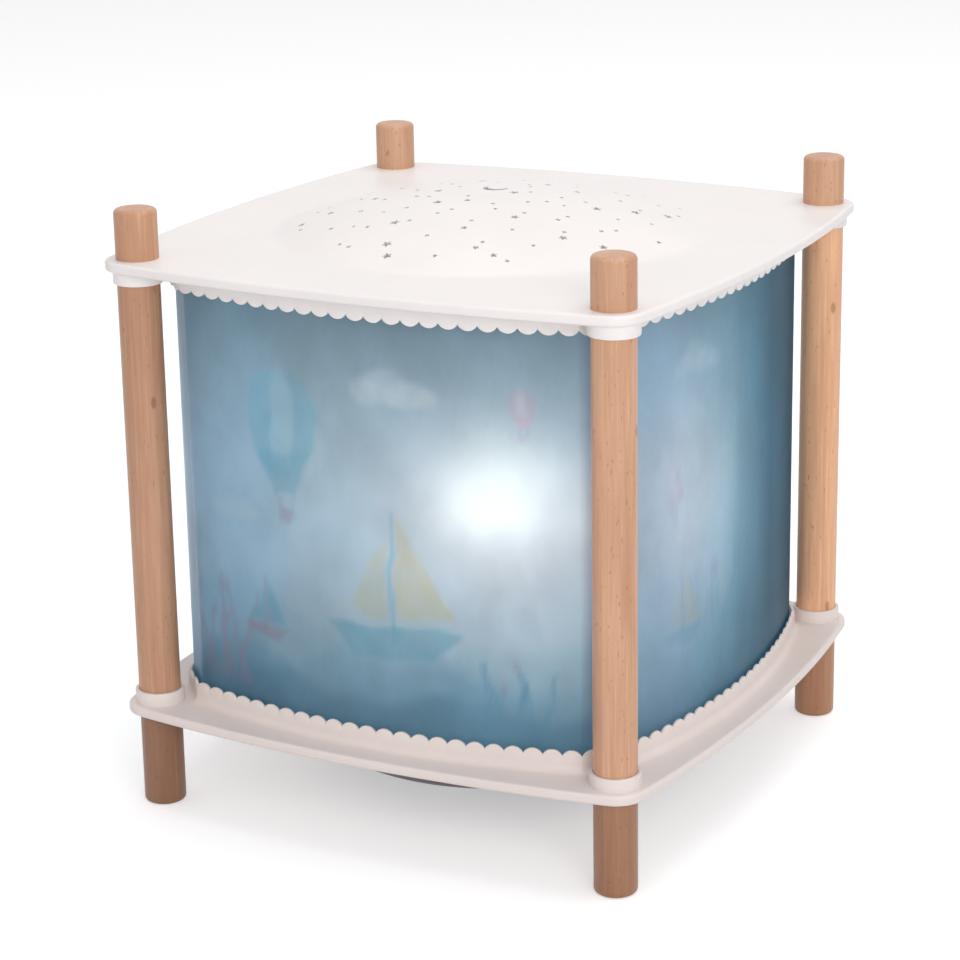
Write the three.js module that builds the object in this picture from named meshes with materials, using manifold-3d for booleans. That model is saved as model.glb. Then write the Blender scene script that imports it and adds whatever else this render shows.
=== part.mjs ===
// Rotating motion lamp: a square night light with swollen sides. Two white plates are held
// apart by four round wooden posts, a translucent shade stands between them inside scalloped
// rings, and a motor turns a film drum round the bulb. Millimetres, +Z up, the floor at z = 0,
// the origin on the floor midway between the posts. The charging and switch side faces -X.

import * as THREE from 'three';
import { mergeVertices } from 'three/addons/utils/BufferGeometryUtils.js';
import Module from 'manifold-3d';

const wasm = await Module();
wasm.setup();

// Overall sizes
const post_spacing = 145;
const post_diameter = 12;
const shade_height = 127;
const finial_length = 14;

// Wooden posts and the studs that join them through the plates
const post_end_round = 1.3;
const post_joint_chamfer = 0.4;
const post_facets = 12;
const stud_diameter = 4;
const stud_reach = 10;
const stud_play = 0.12;
const stud_end_play = 0.5;
const stud_facets = 8;

// Plates
const plate_thickness = 3;
const plate_margin = 9;
const plate_bow = 5.5;
const plate_edge_round = 0.9;
const plate_edge_steps = 1;
const plate_arc_steps = 3;
const collar_height = 3.8;
const collar_wall = 0.9;
const collar_play = 0.12;

// Dome in the upper plate, with its pattern of star holes
const dome_radius = 62;
const dome_height = 11;
const dome_wall = 2.2;
const dome_blend_radius = 12;
const dome_facets = 28;
const dome_rings = 3;
const dome_blend_rings = 2;
const star_count = 72;
const least_star_share = 0.58;
const star_field_radius = 56;
const star_points = 5;
const small_star_points = 4;
const small_star_share = 0.65;
const star_radius = 2.2;
const star_waist_share = 0.46;
const star_size_shares = [1, 0.55, 0.72, 0.5, 0.86, 0.6, 0.46];
const star_drift_share = 0.34;
const moon_radius = 3.6;
const moon_bite_share = 0.82;
const moon_bite_offset_share = 0.42;
const moon_facets = 14;
const moon_place_shares = [[-0.02, 0.08], [0.16, 0.83]];

// Shade and the scalloped rings that hold its two ends
const ring_inset = 8;
const ring_corner_length = 12;
const ring_corner_gap = 2.5;
const ring_wall = 1.5;
const ring_height = 6.4;
const scallop_pitch = 5.4;
const scallop_depth = 1.8;
const scallop_steps = 3;
const ring_base_scallops = 2;
const shade_play = 0.25;
const shade_wall = 0.8;
const shade_side_steps = 10;

// Film drum
const drum_shade_gap = 12;
const drum_film_wall = 0.8;
const drum_film_play = 0.2;
const drum_bottom_gap = 9;
const drum_top_gap = 7.5;
const drum_facets = 36;
const drum_ring_width = 2.8;
const drum_ring_height = 5;
const drum_lip_height = 1.2;
const spoke_count = 4;
const spoke_width = 5;
const spoke_thickness = 3;
const hub_wall = 2.4;
const hub_length = 16;
const bush_wall = 1.9;
const bush_play = 0.12;
const bush_seat_play = 0.1;
const bearing_facets = 20;
const thrust_washer_thickness = 0.8;
const thrust_play = 0.2;
const clip_thickness = 0.8;
const clip_width = 2.6;
const clip_play = 0.3;
const clip_mouth_share = 0.7;

// Gears
const gear_module = 0.75;
const drum_gear_teeth = 48;
const pinion_teeth = 16;
const pressure_angle = 20 * Math.PI / 180;
const gear_dedendum_share = 1.25;
const gear_backlash = 0.22;
const gear_face_width = 5;
const gear_seat_play = 0.1;
const gear_spoke_gap = 0.6;
const gear_web_hole_share = 0.5;
const gear_web_hole_count = 6;
const gear_web_hole_facets = 8;

// Motor
const motor_radius = 12;
const motor_height = 18;
const motor_floor_gap = 3;
const motor_ear_reach = 17.5;
const motor_ear_radius = 3.8;
const motor_ear_thickness = 1.2;
const motor_shaft_diameter = 3;
const motor_shaft_insert = 7.5;
const shaft_play = 0.08;
const shaft_hole_play = 0.8;
const motor_facets = 20;

// Lamp column and bulb
const column_diameter = 10;
const column_wall = 1.8;
const column_rise = 38;
const column_flange_width = 4;
const column_flange_thickness = 2;
const column_tail = 4.8;
const column_hole_play = 0.2;
const nut_width = 15;
const nut_height = 4;
const socket_height = 10;
const socket_neck_wall = 2.4;
const socket_floor = 3;
const socket_grip = 7;
const socket_play = 0.15;
const led_board_radius = 11.5;
const led_board_thickness = 1.6;
const led_board_play = 0.3;
const led_count = 3;
const led_width = 3.5;
const led_height = 0.9;
const led_circle_radius = 6;
const wire_hole_radius = 2;
const bulb_wall = 1;
const bulb_radius = 14.5;
const bulb_facets = 16;
const bulb_rings = 5;

// Base housing below the lower plate
const base_clearance = 3;
const base_mouth_radius = 34;
const base_side_run = 6;
const base_knee_height = 7;
const base_side_height = 14;
const base_wall = 2;
const base_facets = 32;
const base_curve_steps = 2;
const cover_thickness = 2.2;
const cover_lip = 1.2;
const cover_play = 0.3;
const ledge_width = 7;
const ledge_thickness = 1.8;
const base_boss_inset = 12;
const base_boss_radius = 4;
const base_boss_count = 3;
const base_boss_turn = Math.PI / 2;
const boss_facets = 8;

// Screws
const screw_radius = 1.25;
const screw_head_radius = 2.3;
const screw_head_height = 1.6;
const screw_play = 0.15;
const screw_end_gap = 0.5;
const screw_facets = 8;
const base_screw_seat = 10;
const cover_screw_count = 3;
const cover_screw_turn = Math.PI / 6;
const cover_screw_sink = 0.3;

// Battery, circuit board, socket and button
const battery_radius = 9;
const battery_length = 64;
const battery_nut_gap = 10.1;
const battery_side_gap = 4;
const battery_floor_gap = 2.2;
const battery_tip_radius = 3;
const battery_tip_length = 1;
const battery_play = 0.2;
const battery_gap_above = 0.8;
const battery_facets = 16;
const holder_wall = 1;
const board_length = 30;
const board_width = 26;
const board_thickness = 1.6;
const board_edge_gap = 2.5;
const board_drop = 6.4;
const board_post_radius = 2.2;
const board_post_inset = 8;
const board_post_spread = 9;
const port_offset = 8;
const port_width = 9;
const port_height = 3.2;
const port_depth = 7.4;
const port_wall = 0.4;
const port_back = 1.2;
const port_tongue_width = 6.6;
const port_tongue_height = 0.7;
const port_tongue_inset = 0.8;
const port_play = 0.25;
const port_recess = 0.4;
const switch_size = 6;
const switch_height = 3.6;
const switch_end_play = 0.9;
const button_radius = 3.2;
const button_proud = 1.5;
const button_play = 0.2;
const button_round = 0.7;
const button_flange_width = 0.8;
const button_flange_thickness = 1;
const button_flange_gap = 0.3;
const button_stem_radius = 1.4;
const button_stem_overlap = 1.5;
const button_travel = 0.8;
const button_facets = 16;

// Cuts run past the faces they pierce by this much
const overrun = 1;

// Heights that follow from the sizes above
const half_spacing = post_spacing / 2;
const post_radius = post_diameter / 2;
const stud_radius = stud_diameter / 2;
const base_room = Math.max(motor_height + motor_floor_gap,
  2 * battery_radius + battery_gap_above + battery_floor_gap);
const base_floor_z = base_clearance;
const cover_seat_z = base_floor_z + cover_thickness;
const ledge_z = cover_seat_z + ledge_thickness;
const lower_plate_z = ledge_z + base_room;
const lower_deck_z = lower_plate_z + plate_thickness;
const upper_plate_z = lower_deck_z + shade_height;
const upper_deck_z = upper_plate_z + plate_thickness;
const column_radius = column_diameter / 2;
const column_flange_z = lower_deck_z + column_flange_thickness;
const hub_z = column_flange_z + thrust_washer_thickness + thrust_play;
const wheel_z = lower_deck_z + drum_bottom_gap;
const drum_top_z = upper_plate_z - drum_top_gap;
const gear_z = wheel_z - gear_spoke_gap - gear_face_width;
const drum_gear_radius = gear_module * drum_gear_teeth / 2;
const pinion_radius = gear_module * pinion_teeth / 2;
const motor_offset = drum_gear_radius + pinion_radius;
const column_top_z = lower_deck_z + column_rise;
const socket_z = column_top_z - socket_grip;
const bulb_seat_z = socket_z + socket_height;

// Widths that follow from the sizes above
const plate_half_width = half_spacing + plate_margin + plate_bow;
const ring_half_width = plate_half_width - ring_inset;
const shade_inset = ring_wall + shade_play;
const drum_radius = ring_half_width - shade_inset - shade_wall - drum_shade_gap;
const nut_radius = nut_width / Math.sqrt(3);
const battery_reach = battery_radius + battery_play;
const battery_room = battery_length / 2 + battery_tip_length + battery_play;
const battery_offset = nut_radius + battery_nut_gap + battery_reach;
const holder_corner = Math.hypot(battery_room + holder_wall, battery_offset + battery_reach + holder_wall);
const base_radius = holder_corner + battery_side_gap + base_wall;
const base_knee_radius = base_radius - base_side_run;
const base_boss_circle = base_radius - base_boss_inset;

// Heights of the circuit board and what stands on it
const board_z = lower_plate_z - board_drop - board_thickness;
const board_deck_z = board_z + board_thickness;
const switch_z = board_deck_z + switch_height / 2;

// A piece's finish; every piece gets a material of its own
const finishes = {
  white_plastic: { color: 0xf3ebe7, roughness: 0.45, metalness: 0 },
  wood: { color: 0xd6a582, roughness: 0.6, metalness: 0 },
  shade_film: { color: 0x8fb3c8, roughness: 0.5, metalness: 0 },
  drum_film: { color: 0xb9cbd6, roughness: 0.5, metalness: 0 },
  clear_plastic: { color: 0xe9f0f2, roughness: 0.3, metalness: 0 },
  grey_plastic: { color: 0x8d8488, roughness: 0.55, metalness: 0 },
  bearing_plastic: { color: 0xd8d2b8, roughness: 0.4, metalness: 0 },
  black_plastic: { color: 0x26272a, roughness: 0.5, metalness: 0 },
  steel: { color: 0xb9bcc0, roughness: 0.32, metalness: 1 },
  board_green: { color: 0x2f6b45, roughness: 0.5, metalness: 0 },
  led_yellow: { color: 0xf2e08a, roughness: 0.35, metalness: 0 },
  frosted: { color: 0xfaf7ef, roughness: 0.55, metalness: 0 },
  battery_wrap: { color: 0x5b86b8, roughness: 0.4, metalness: 0 },
};

const lamp = new THREE.Group();

function addPart(name, finish, geometry) {
  const mesh = new THREE.Mesh(geometry, new THREE.MeshStandardMaterial(finishes[finish]));
  mesh.name = name;
  lamp.add(mesh);
}

// Closed surfaces: shared corners are merged, collapsed triangles dropped and faces turned out
function closeSurface(geometry) {
  const plain = new THREE.BufferGeometry();
  plain.setAttribute('position', geometry.getAttribute('position').clone());
  if (geometry.index) {
    plain.setIndex(geometry.index.clone());
  }
  const merged = mergeVertices(plain);
  const place = merged.getAttribute('position');
  const corner = (i) => new THREE.Vector3().fromBufferAttribute(place, i);
  const kept = [];
  let volume = 0;
  for (let i = 0; i < merged.index.count; i += 3) {
    const [a, b, c] = [0, 1, 2].map((k) => merged.index.getX(i + k));
    if (a !== b && b !== c && c !== a) {
      kept.push(a, b, c);
      volume += corner(a).dot(corner(b).cross(corner(c)));
    }
  }
  if (volume < 0) {
    for (let i = 0; i < kept.length; i += 3) {
      [kept[i], kept[i + 1]] = [kept[i + 1], kept[i]];
    }
  }
  merged.setIndex(kept);
  return merged;
}

function toSolid(geometry) {
  const closed = closeSurface(geometry);
  return new wasm.Manifold(new wasm.Mesh({
    numProp: 3,
    vertProperties: new Float32Array(closed.getAttribute('position').array),
    triVerts: new Uint32Array(closed.index.array),
  }));
}

function toGeometry(solid) {
  const mesh = solid.getMesh();
  const geometry = new THREE.BufferGeometry();
  geometry.setAttribute('position', new THREE.BufferAttribute(new Float32Array(mesh.vertProperties), 3));
  geometry.setIndex(Array.from(mesh.triVerts));
  return geometry;
}

function joined(base, additions) {
  return additions.reduce((sum, geometry) => sum.add(toSolid(geometry)), base);
}

function cut(base, cutters) {
  return cutters.reduce((rest, geometry) => rest.subtract(toSolid(geometry)), base);
}

// Basic solids, all standing along +Z
function revolve(profile, facets) {
  const points = profile.map(([r, z]) => new THREE.Vector2(r, z));
  return new THREE.LatheGeometry(points, facets).rotateX(Math.PI / 2);
}

function rod(radius, low, high, facets, x = 0, y = 0) {
  return revolve([[0, low], [radius, low], [radius, high], [0, high]], facets).translate(x, y, 0);
}

function tube(inner, outer, low, high, facets) {
  return revolve([[inner, low], [outer, low], [outer, high], [inner, high], [inner, low]], facets);
}

function block(low, high) {
  const size = high.map((value, i) => value - low[i]);
  const middle = high.map((value, i) => (value + low[i]) / 2);
  return new THREE.BoxGeometry(...size).translate(...middle);
}

function extrudeUp(shape, low, high) {
  return new THREE.ExtrudeGeometry(shape, { depth: high - low, bevelEnabled: false }).translate(0, 0, low);
}

// A rod along X that starts at x = start and runs towards +X
function lyingRod(radius, start, end, facets, y, z) {
  return rod(radius, start, end, facets).rotateY(Math.PI / 2).translate(0, y, z);
}

function onCircle(count, radius, turn) {
  return Array.from({ length: count }, (_, i) => {
    const angle = turn + i * 2 * Math.PI / count;
    return [radius * Math.cos(angle), radius * Math.sin(angle)];
  });
}

const corner_names = ['near_right', 'far_right', 'far_left', 'near_left'];
const corner_signs = [[1, -1], [1, 1], [-1, 1], [-1, -1]];
const post_places = corner_signs.map(([sx, sy]) => [sx * half_spacing, sy * half_spacing]);

// Wooden posts. Each post is a foot, a pillar and a finial, drawn together by two studs.
const stud_bore = stud_radius + stud_play;
const stud_bore_depth = stud_reach + stud_end_play;

function roundedEnd(level, outward) {
  const bend = [0, 1, 2].map((i) => i * Math.PI / 4);
  return bend.map((angle) => [
    post_radius - post_end_round + post_end_round * Math.cos(angle),
    level - outward * post_end_round * (1 - Math.sin(angle)),
  ]);
}

function footProfile() {
  const top = lower_plate_z;
  return [
    [0, 0],
    ...roundedEnd(0, -1).reverse(),
    [post_radius, top],
    [stud_bore, top],
    [stud_bore, top - stud_bore_depth],
    [0, top - stud_bore_depth],
  ];
}

function pillarProfile() {
  const low = lower_deck_z;
  const high = upper_plate_z;
  return [
    [0, low + stud_bore_depth],
    [stud_bore, low + stud_bore_depth],
    [stud_bore, low],
    [post_radius - post_joint_chamfer, low],
    [post_radius, low + post_joint_chamfer],
    [post_radius, high - post_joint_chamfer],
    [post_radius - post_joint_chamfer, high],
    [stud_bore, high],
    [stud_bore, high - stud_bore_depth],
    [0, high - stud_bore_depth],
  ];
}

function finialProfile() {
  const low = upper_deck_z;
  const high = upper_deck_z + finial_length;
  return [
    [0, low + stud_bore_depth],
    [stud_bore, low + stud_bore_depth],
    [stud_bore, low],
    [post_radius, low],
    ...roundedEnd(high, 1),
    [0, high],
  ];
}

function addPosts() {
  post_places.forEach(([x, y], i) => {
    const at = (geometry) => closeSurface(geometry.translate(x, y, 0));
    addPart(`foot_${corner_names[i]}`, 'wood', at(revolve(footProfile(), post_facets)));
    addPart(`pillar_${corner_names[i]}`, 'wood', at(revolve(pillarProfile(), post_facets)));
    addPart(`finial_${corner_names[i]}`, 'wood', at(revolve(finialProfile(), post_facets)));
    const stud = (low, high) => at(rod(stud_radius, low - stud_reach, high + stud_reach, stud_facets));
    addPart(`lower_stud_${corner_names[i]}`, 'steel', stud(lower_plate_z, lower_deck_z));
    addPart(`upper_stud_${corner_names[i]}`, 'steel', stud(upper_plate_z, upper_deck_z));
  });
}

// Plates. The outline is four swollen sides that run smoothly into round corners about the posts.
function plateOutline() {
  const swell = plate_half_width - half_spacing;
  const side_radius = (swell ** 2 + half_spacing ** 2 - plate_margin ** 2) / (2 * (swell - plate_margin));
  const side_centre = side_radius - plate_half_width;
  const lean = Math.atan2(half_spacing, half_spacing + side_centre);
  const outline = new THREE.Shape();
  for (let side = 0; side < 4; side += 1) {
    const turn = side * Math.PI / 2;
    const middle = new THREE.Vector2(-side_centre, 0).rotateAround(new THREE.Vector2(), turn);
    const corner = new THREE.Vector2(half_spacing, half_spacing).rotateAround(new THREE.Vector2(), turn);
    outline.absarc(middle.x, middle.y, side_radius, turn - lean, turn + lean);
    outline.absarc(corner.x, corner.y, plate_margin, turn + lean, turn + Math.PI / 2 - lean);
  }
  return outline;
}

function plateSlab(low) {
  return toSolid(new THREE.ExtrudeGeometry(plateOutline(), {
    depth: plate_thickness - 2 * plate_edge_round,
    bevelThickness: plate_edge_round,
    bevelSize: plate_edge_round,
    bevelOffset: -plate_edge_round,
    bevelSegments: plate_edge_steps,
    curveSegments: plate_arc_steps,
  }).translate(0, 0, low + plate_edge_round));
}

function collars(low, high) {
  const bore = post_radius + collar_play;
  return post_places.map(([x, y]) =>
    tube(bore, bore + collar_wall, low, high, post_facets).translate(x, y, 0));
}

function studHoles(low) {
  return post_places.map(([x, y]) =>
    rod(stud_bore, low - overrun, low + plate_thickness + overrun, stud_facets, x, y));
}

// The dome is a spherical cap that a cove blends into the deck
const dome_sphere = (dome_radius ** 2 + dome_height ** 2) / (2 * dome_height);
const dome_centre_z = upper_deck_z + dome_height - dome_sphere;

function domeTop() {
  const cove_z = upper_deck_z + dome_blend_radius;
  const cove_r = Math.sqrt((dome_sphere + dome_blend_radius) ** 2 - (cove_z - dome_centre_z) ** 2);
  const meet = Math.atan2(cove_r, cove_z - dome_centre_z);
  const profile = [[0, upper_deck_z - plate_thickness / 2], [cove_r, upper_deck_z - plate_thickness / 2]];
  for (let i = 0; i < dome_blend_rings; i += 1) {
    const angle = meet * i / dome_blend_rings;
    profile.push([
      cove_r - dome_blend_radius * Math.sin(angle),
      cove_z - dome_blend_radius * Math.cos(angle),
    ]);
  }
  for (let i = 0; i < dome_rings; i += 1) {
    const angle = meet * (1 - i / dome_rings);
    profile.push([dome_sphere * Math.sin(angle), dome_centre_z + dome_sphere * Math.cos(angle)]);
  }
  profile.push([0, dome_centre_z + dome_sphere]);
  return revolve(profile, dome_facets);
}

function domeCavity() {
  const inner = dome_sphere - dome_wall;
  const low = upper_plate_z - overrun;
  const edge = Math.acos((low - dome_centre_z) / inner);
  const profile = [[0, low]];
  for (let i = 0; i < dome_rings; i += 1) {
    const angle = edge * (1 - i / dome_rings);
    profile.push([inner * Math.sin(angle), dome_centre_z + inner * Math.cos(angle)]);
  }
  profile.push([0, dome_centre_z + inner]);
  return revolve(profile, dome_facets);
}

function starShape(size_share, turn) {
  const points = size_share < small_star_share ? small_star_points : star_points;
  const outline = onCircle(2 * points, star_radius * size_share, turn)
    .map(([x, y], i) => new THREE.Vector2(x, y).multiplyScalar(i % 2 ? star_waist_share : 1));
  return new THREE.Shape(outline);
}

// A crescent: a disc's edge on one side, and on the other the edge of the disc that bites it
function moonShape() {
  const bite = moon_radius * moon_bite_share;
  const offset = moon_radius * moon_bite_offset_share;
  const along = (moon_radius ** 2 - bite ** 2 + offset ** 2) / (2 * offset);
  const tip = Math.sqrt(moon_radius ** 2 - along ** 2);
  const outer = new THREE.EllipseCurve(0, 0, moon_radius, moon_radius,
    Math.atan2(tip, along), 2 * Math.PI - Math.atan2(tip, along));
  const inner = new THREE.EllipseCurve(offset, 0, bite, bite,
    2 * Math.PI - Math.atan2(tip, along - offset), Math.atan2(tip, along - offset), true);
  const edge = outer.getPoints(moon_facets).concat(inner.getPoints(moon_facets / 2).slice(1, -1));
  return new THREE.Shape(edge);
}

function patternCutters() {
  const low = upper_plate_z - overrun;
  const high = upper_deck_z + dome_height + overrun;
  const golden = Math.PI * (3 - Math.sqrt(5));
  const pitch = star_field_radius / Math.sqrt(star_count);
  const drift = star_drift_share * pitch;
  const moons = moon_place_shares.map(([x, y]) => [x * star_field_radius, y * star_field_radius]);
  const cutters = moons.map(([x, y]) =>
    extrudeUp(moonShape(), low, high).rotateZ(Math.PI / 2).translate(x, y, 0));
  for (let i = 0; i < star_count; i += 1) {
    const radius = pitch * Math.sqrt(i + 1 / 2);
    const x = radius * Math.cos(i * golden) + drift * Math.sin(i * i + 1);
    const y = radius * Math.sin(i * golden) + drift * Math.cos(i * i * 2 + 1);
    const size_share = star_size_shares[i % star_size_shares.length];
    const free = moons.every(([mx, my]) => Math.hypot(x - mx, y - my) > moon_radius + star_radius);
    if (free && size_share > least_star_share) {
      cutters.push(extrudeUp(starShape(size_share, i), low, high).translate(x, y, 0));
    }
  }
  return cutters;
}

function addUpperPlate() {
  const shell = joined(plateSlab(upper_plate_z), [
    domeTop(),
    ...collars(upper_plate_z - collar_height, upper_plate_z + plate_thickness / 2),
  ]);
  const plate = cut(shell, [domeCavity(), ...studHoles(upper_plate_z), ...patternCutters()]);
  addPart('upper_plate', 'white_plastic', toGeometry(plate));
}

function motorScrewPlaces() {
  return [[motor_ear_reach, -motor_offset], [-motor_ear_reach, -motor_offset]];
}

const base_boss_places = onCircle(base_boss_count, base_boss_circle, base_boss_turn);

function addLowerPlate() {
  const shell = joined(plateSlab(lower_plate_z),
    collars(lower_plate_z + plate_thickness / 2, lower_deck_z + collar_height));
  const hole = (radius, x, y, facets) =>
    rod(radius, lower_plate_z - overrun, lower_deck_z + overrun, facets, x, y);
  const screw_hole = screw_radius + screw_play;
  const plate = cut(shell, [
    ...studHoles(lower_plate_z),
    hole(column_radius + column_hole_play, 0, 0, bearing_facets),
    hole(motor_shaft_diameter / 2 + shaft_hole_play, 0, -motor_offset, screw_facets),
    ...motorScrewPlaces().map(([x, y]) => hole(screw_hole, x, y, screw_facets)),
    ...base_boss_places.map(([x, y]) => hole(screw_hole, x, y, screw_facets)),
  ]);
  addPart('lower_plate', 'white_plastic', toGeometry(plate));
}

// Outline of the shade and its rings: four swollen sides whose corners are cut off straight, to
// leave room for the posts. Returns points that run anticlockwise from the start of the +X side.
const collar_radius = post_radius + collar_play + collar_wall;
const ring_corner_distance = half_spacing * Math.SQRT2 - collar_radius - ring_corner_gap;
const ring_corner_far = (ring_corner_distance + ring_corner_length / 2) / Math.SQRT2;
const ring_corner_near = (ring_corner_distance - ring_corner_length / 2) / Math.SQRT2;
const ring_swell = ring_half_width - ring_corner_far;
const ring_bow_radius = (ring_corner_near ** 2 + ring_swell ** 2) / (2 * ring_swell);

function swollenSquare(inset, side_steps, corner_steps) {
  const bow_radius = ring_bow_radius - inset;
  const centre = ring_bow_radius - ring_half_width;
  const reach = (ring_corner_distance - inset) * Math.SQRT2 + centre;
  const corner_y = (reach - Math.sqrt(2 * bow_radius ** 2 - reach ** 2)) / 2;
  const lean = Math.asin(corner_y / bow_radius);
  const arc = new THREE.EllipseCurve(-centre, 0, bow_radius, bow_radius, -lean, lean);
  const side = arc.getPoints(side_steps);
  const turned = (point, turn) => point.clone().rotateAround(new THREE.Vector2(), turn);
  const points = [];
  for (let quarter = 0; quarter < 4; quarter += 1) {
    const turn = quarter * Math.PI / 2;
    points.push(...side.slice(0, -1).map((point) => turned(point, turn)));
    const from = turned(side[side_steps], turn);
    const to = turned(side[0], turn + Math.PI / 2);
    for (let i = 0; i < corner_steps; i += 1) {
      points.push(from.clone().lerp(to, i / corner_steps));
    }
  }
  return points;
}

function ringLengths() {
  const points = swollenSquare(0, 1, 1);
  return [points[0].distanceTo(points[1]), points[1].distanceTo(points[2])];
}

// A ring that stands on one edge and ends in a row of round scallops on the other. Its outer and
// inner faces share their points one to one. The plain edge has a point only every few scallops
// along a swollen side, and none along a straight corner.
function scallopedRing(base_z, direction) {
  const [side_length, corner_length] = ringLengths();
  const per_side = Math.round(side_length / scallop_pitch);
  const per_corner = Math.max(1, Math.round(corner_length / scallop_pitch));
  const radius = ((scallop_pitch / 2) ** 2 + scallop_depth ** 2) / (2 * scallop_depth);
  const rise = (i) => {
    const across = scallop_pitch * ((i % scallop_steps) / scallop_steps - 1 / 2);
    return Math.sqrt(radius ** 2 - across ** 2) - radius + scallop_depth;
  };
  const stations = [];
  for (let quarter = 0; quarter < 4; quarter += 1) {
    const from = quarter * (per_side + per_corner);
    for (let i = 0; i < per_side; i += ring_base_scallops) {
      stations.push((from + i) * scallop_steps);
    }
    stations.push((from + per_side) * scallop_steps);
  }
  const vertices = [];
  const faces = [];
  const triangle = (a, b, c, flipped) => faces.push(...(flipped ? [a, c, b] : [a, b, c]));
  const quad = (a, b, c, d) => faces.push(a, b, c, a, c, d);
  const place = (point, height) => {
    vertices.push(point.x, point.y, base_z + direction * height);
    return vertices.length / 3 - 1;
  };
  const [outer, inner] = [0, ring_wall].map((inset) => {
    const path = swollenSquare(inset, per_side * scallop_steps, per_corner * scallop_steps);
    const edge = path.map((point, i) => place(point, ring_height - scallop_depth + rise(i)));
    const base = stations.map((i) => place(path[i], 0));
    return { edge, base, flipped: inset > 0 };
  });
  const count = outer.edge.length;
  stations.forEach((start, k) => {
    const next = (k + 1) % stations.length;
    const end = stations[next] || count;
    [outer, inner].forEach(({ edge, base, flipped }) => {
      triangle(base[k], base[next], edge[end % count], flipped);
      for (let i = start; i < end; i += 1) {
        triangle(base[k], edge[(i + 1) % count], edge[i], flipped);
      }
    });
    for (let i = start; i < end; i += 1) {
      const after = (i + 1) % count;
      quad(outer.edge[i], outer.edge[after], inner.edge[after], inner.edge[i]);
    }
    quad(outer.base[k], inner.base[k], inner.base[next], outer.base[next]);
  });
  const geometry = new THREE.BufferGeometry();
  geometry.setAttribute('position', new THREE.BufferAttribute(new Float32Array(vertices), 3));
  geometry.setIndex(faces);
  return closeSurface(geometry);
}

function addShade() {
  addPart('upper_scallop_ring', 'white_plastic', scallopedRing(upper_plate_z, -1));
  addPart('lower_scallop_ring', 'white_plastic', scallopedRing(lower_deck_z, 1));
  const outer = swollenSquare(shade_inset, shade_side_steps, 1);
  const inner = swollenSquare(shade_inset + shade_wall, shade_side_steps, 1);
  const section = new THREE.Shape(outer);
  section.holes.push(new THREE.Path(inner));
  addPart('shade_film', 'shade_film', closeSurface(extrudeUp(section, lower_deck_z, upper_plate_z)));
}

// Spur gear outline with involute flanks, each tooth narrowed by its share of the backlash
function gearShape(teeth, turn) {
  const pitch_radius = gear_module * teeth / 2;
  const base_radius = pitch_radius * Math.cos(pressure_angle);
  const tip_radius = pitch_radius + gear_module;
  const root_radius = pitch_radius - gear_module * gear_dedendum_share;
  const involute = (angle) => Math.tan(angle) - angle;
  const half_pitch_tooth = Math.PI / (2 * teeth) - gear_backlash / (4 * pitch_radius);
  const halfTooth = (radius) => half_pitch_tooth + involute(pressure_angle)
    - involute(Math.acos(Math.min(1, base_radius / radius)));
  const flank = [root_radius, Math.max(base_radius, root_radius), tip_radius]
    .filter((radius, i, all) => !i || radius > all[i - 1]);
  const points = [];
  for (let tooth = 0; tooth < teeth; tooth += 1) {
    const middle = turn + tooth * 2 * Math.PI / teeth;
    const at = (radius, side) => {
      const angle = middle + side * halfTooth(radius);
      points.push(new THREE.Vector2(radius * Math.cos(angle), radius * Math.sin(angle)));
    };
    flank.forEach((radius) => at(radius, -1));
    flank.slice().reverse().forEach((radius) => at(radius, 1));
  }
  return new THREE.Shape(points);
}

function circlePath(radius, facets, x = 0, y = 0) {
  return new THREE.Path(onCircle(facets, radius, 0).map(([px, py]) => new THREE.Vector2(x + px, y + py)));
}

const bush_bore = column_radius + bush_play;
const hub_bore = bush_bore + bush_wall + bush_seat_play;
const hub_radius = hub_bore + hub_wall;
const film_bore = drum_radius - drum_film_wall;
const drum_seat = film_bore - drum_film_play;

function addDrum() {
  const film_low = wheel_z + drum_lip_height;
  const film_high = drum_top_z - drum_lip_height;
  addPart('drum_film', 'drum_film', closeSurface(
    tube(film_bore, drum_radius, film_low, film_high, drum_facets)));
  const ring_inner = drum_seat - drum_ring_width;
  const drumRing = (outer_end, lip, inner_end) => revolve([
    [ring_inner, outer_end], [drum_radius, outer_end], [drum_radius, lip], [drum_seat, lip],
    [drum_seat, inner_end], [ring_inner, inner_end], [ring_inner, outer_end],
  ], drum_facets);
  const upper_ring = drumRing(drum_top_z, film_high, drum_top_z - drum_ring_height);
  addPart('drum_upper_ring', 'clear_plastic', closeSurface(upper_ring));
  const spokes = Array.from({ length: spoke_count }, (_, i) => block(
    [(hub_bore + hub_radius) / 2, -spoke_width / 2, wheel_z],
    [drum_seat - drum_ring_width / 2, spoke_width / 2, wheel_z + spoke_thickness],
  ).rotateZ(i * 2 * Math.PI / spoke_count));
  const hub = tube(hub_bore, hub_radius, hub_z, hub_z + hub_length, bearing_facets);
  const rim = toSolid(drumRing(wheel_z, film_low, wheel_z + drum_ring_height));
  const wheel = joined(rim, [...spokes, hub]);
  addPart('drum_wheel', 'clear_plastic', toGeometry(wheel));
  addPart('hub_bush', 'bearing_plastic', closeSurface(
    tube(bush_bore, bush_bore + bush_wall, hub_z, hub_z + hub_length, bearing_facets)));
  const gear_root = drum_gear_radius - gear_module * gear_dedendum_share;
  const web_middle = (hub_radius + gear_root) / 2;
  const web_width = gear_root - hub_radius;
  const gear = gearShape(drum_gear_teeth, 0);
  gear.holes.push(circlePath(hub_radius + gear_seat_play, bearing_facets));
  onCircle(gear_web_hole_count, web_middle, 0).forEach(([x, y]) =>
    gear.holes.push(circlePath(web_width * gear_web_hole_share / 2, gear_web_hole_facets, x, y)));
  addPart('drum_gear', 'bearing_plastic', closeSurface(extrudeUp(gear, gear_z, gear_z + gear_face_width)));
}

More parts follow.
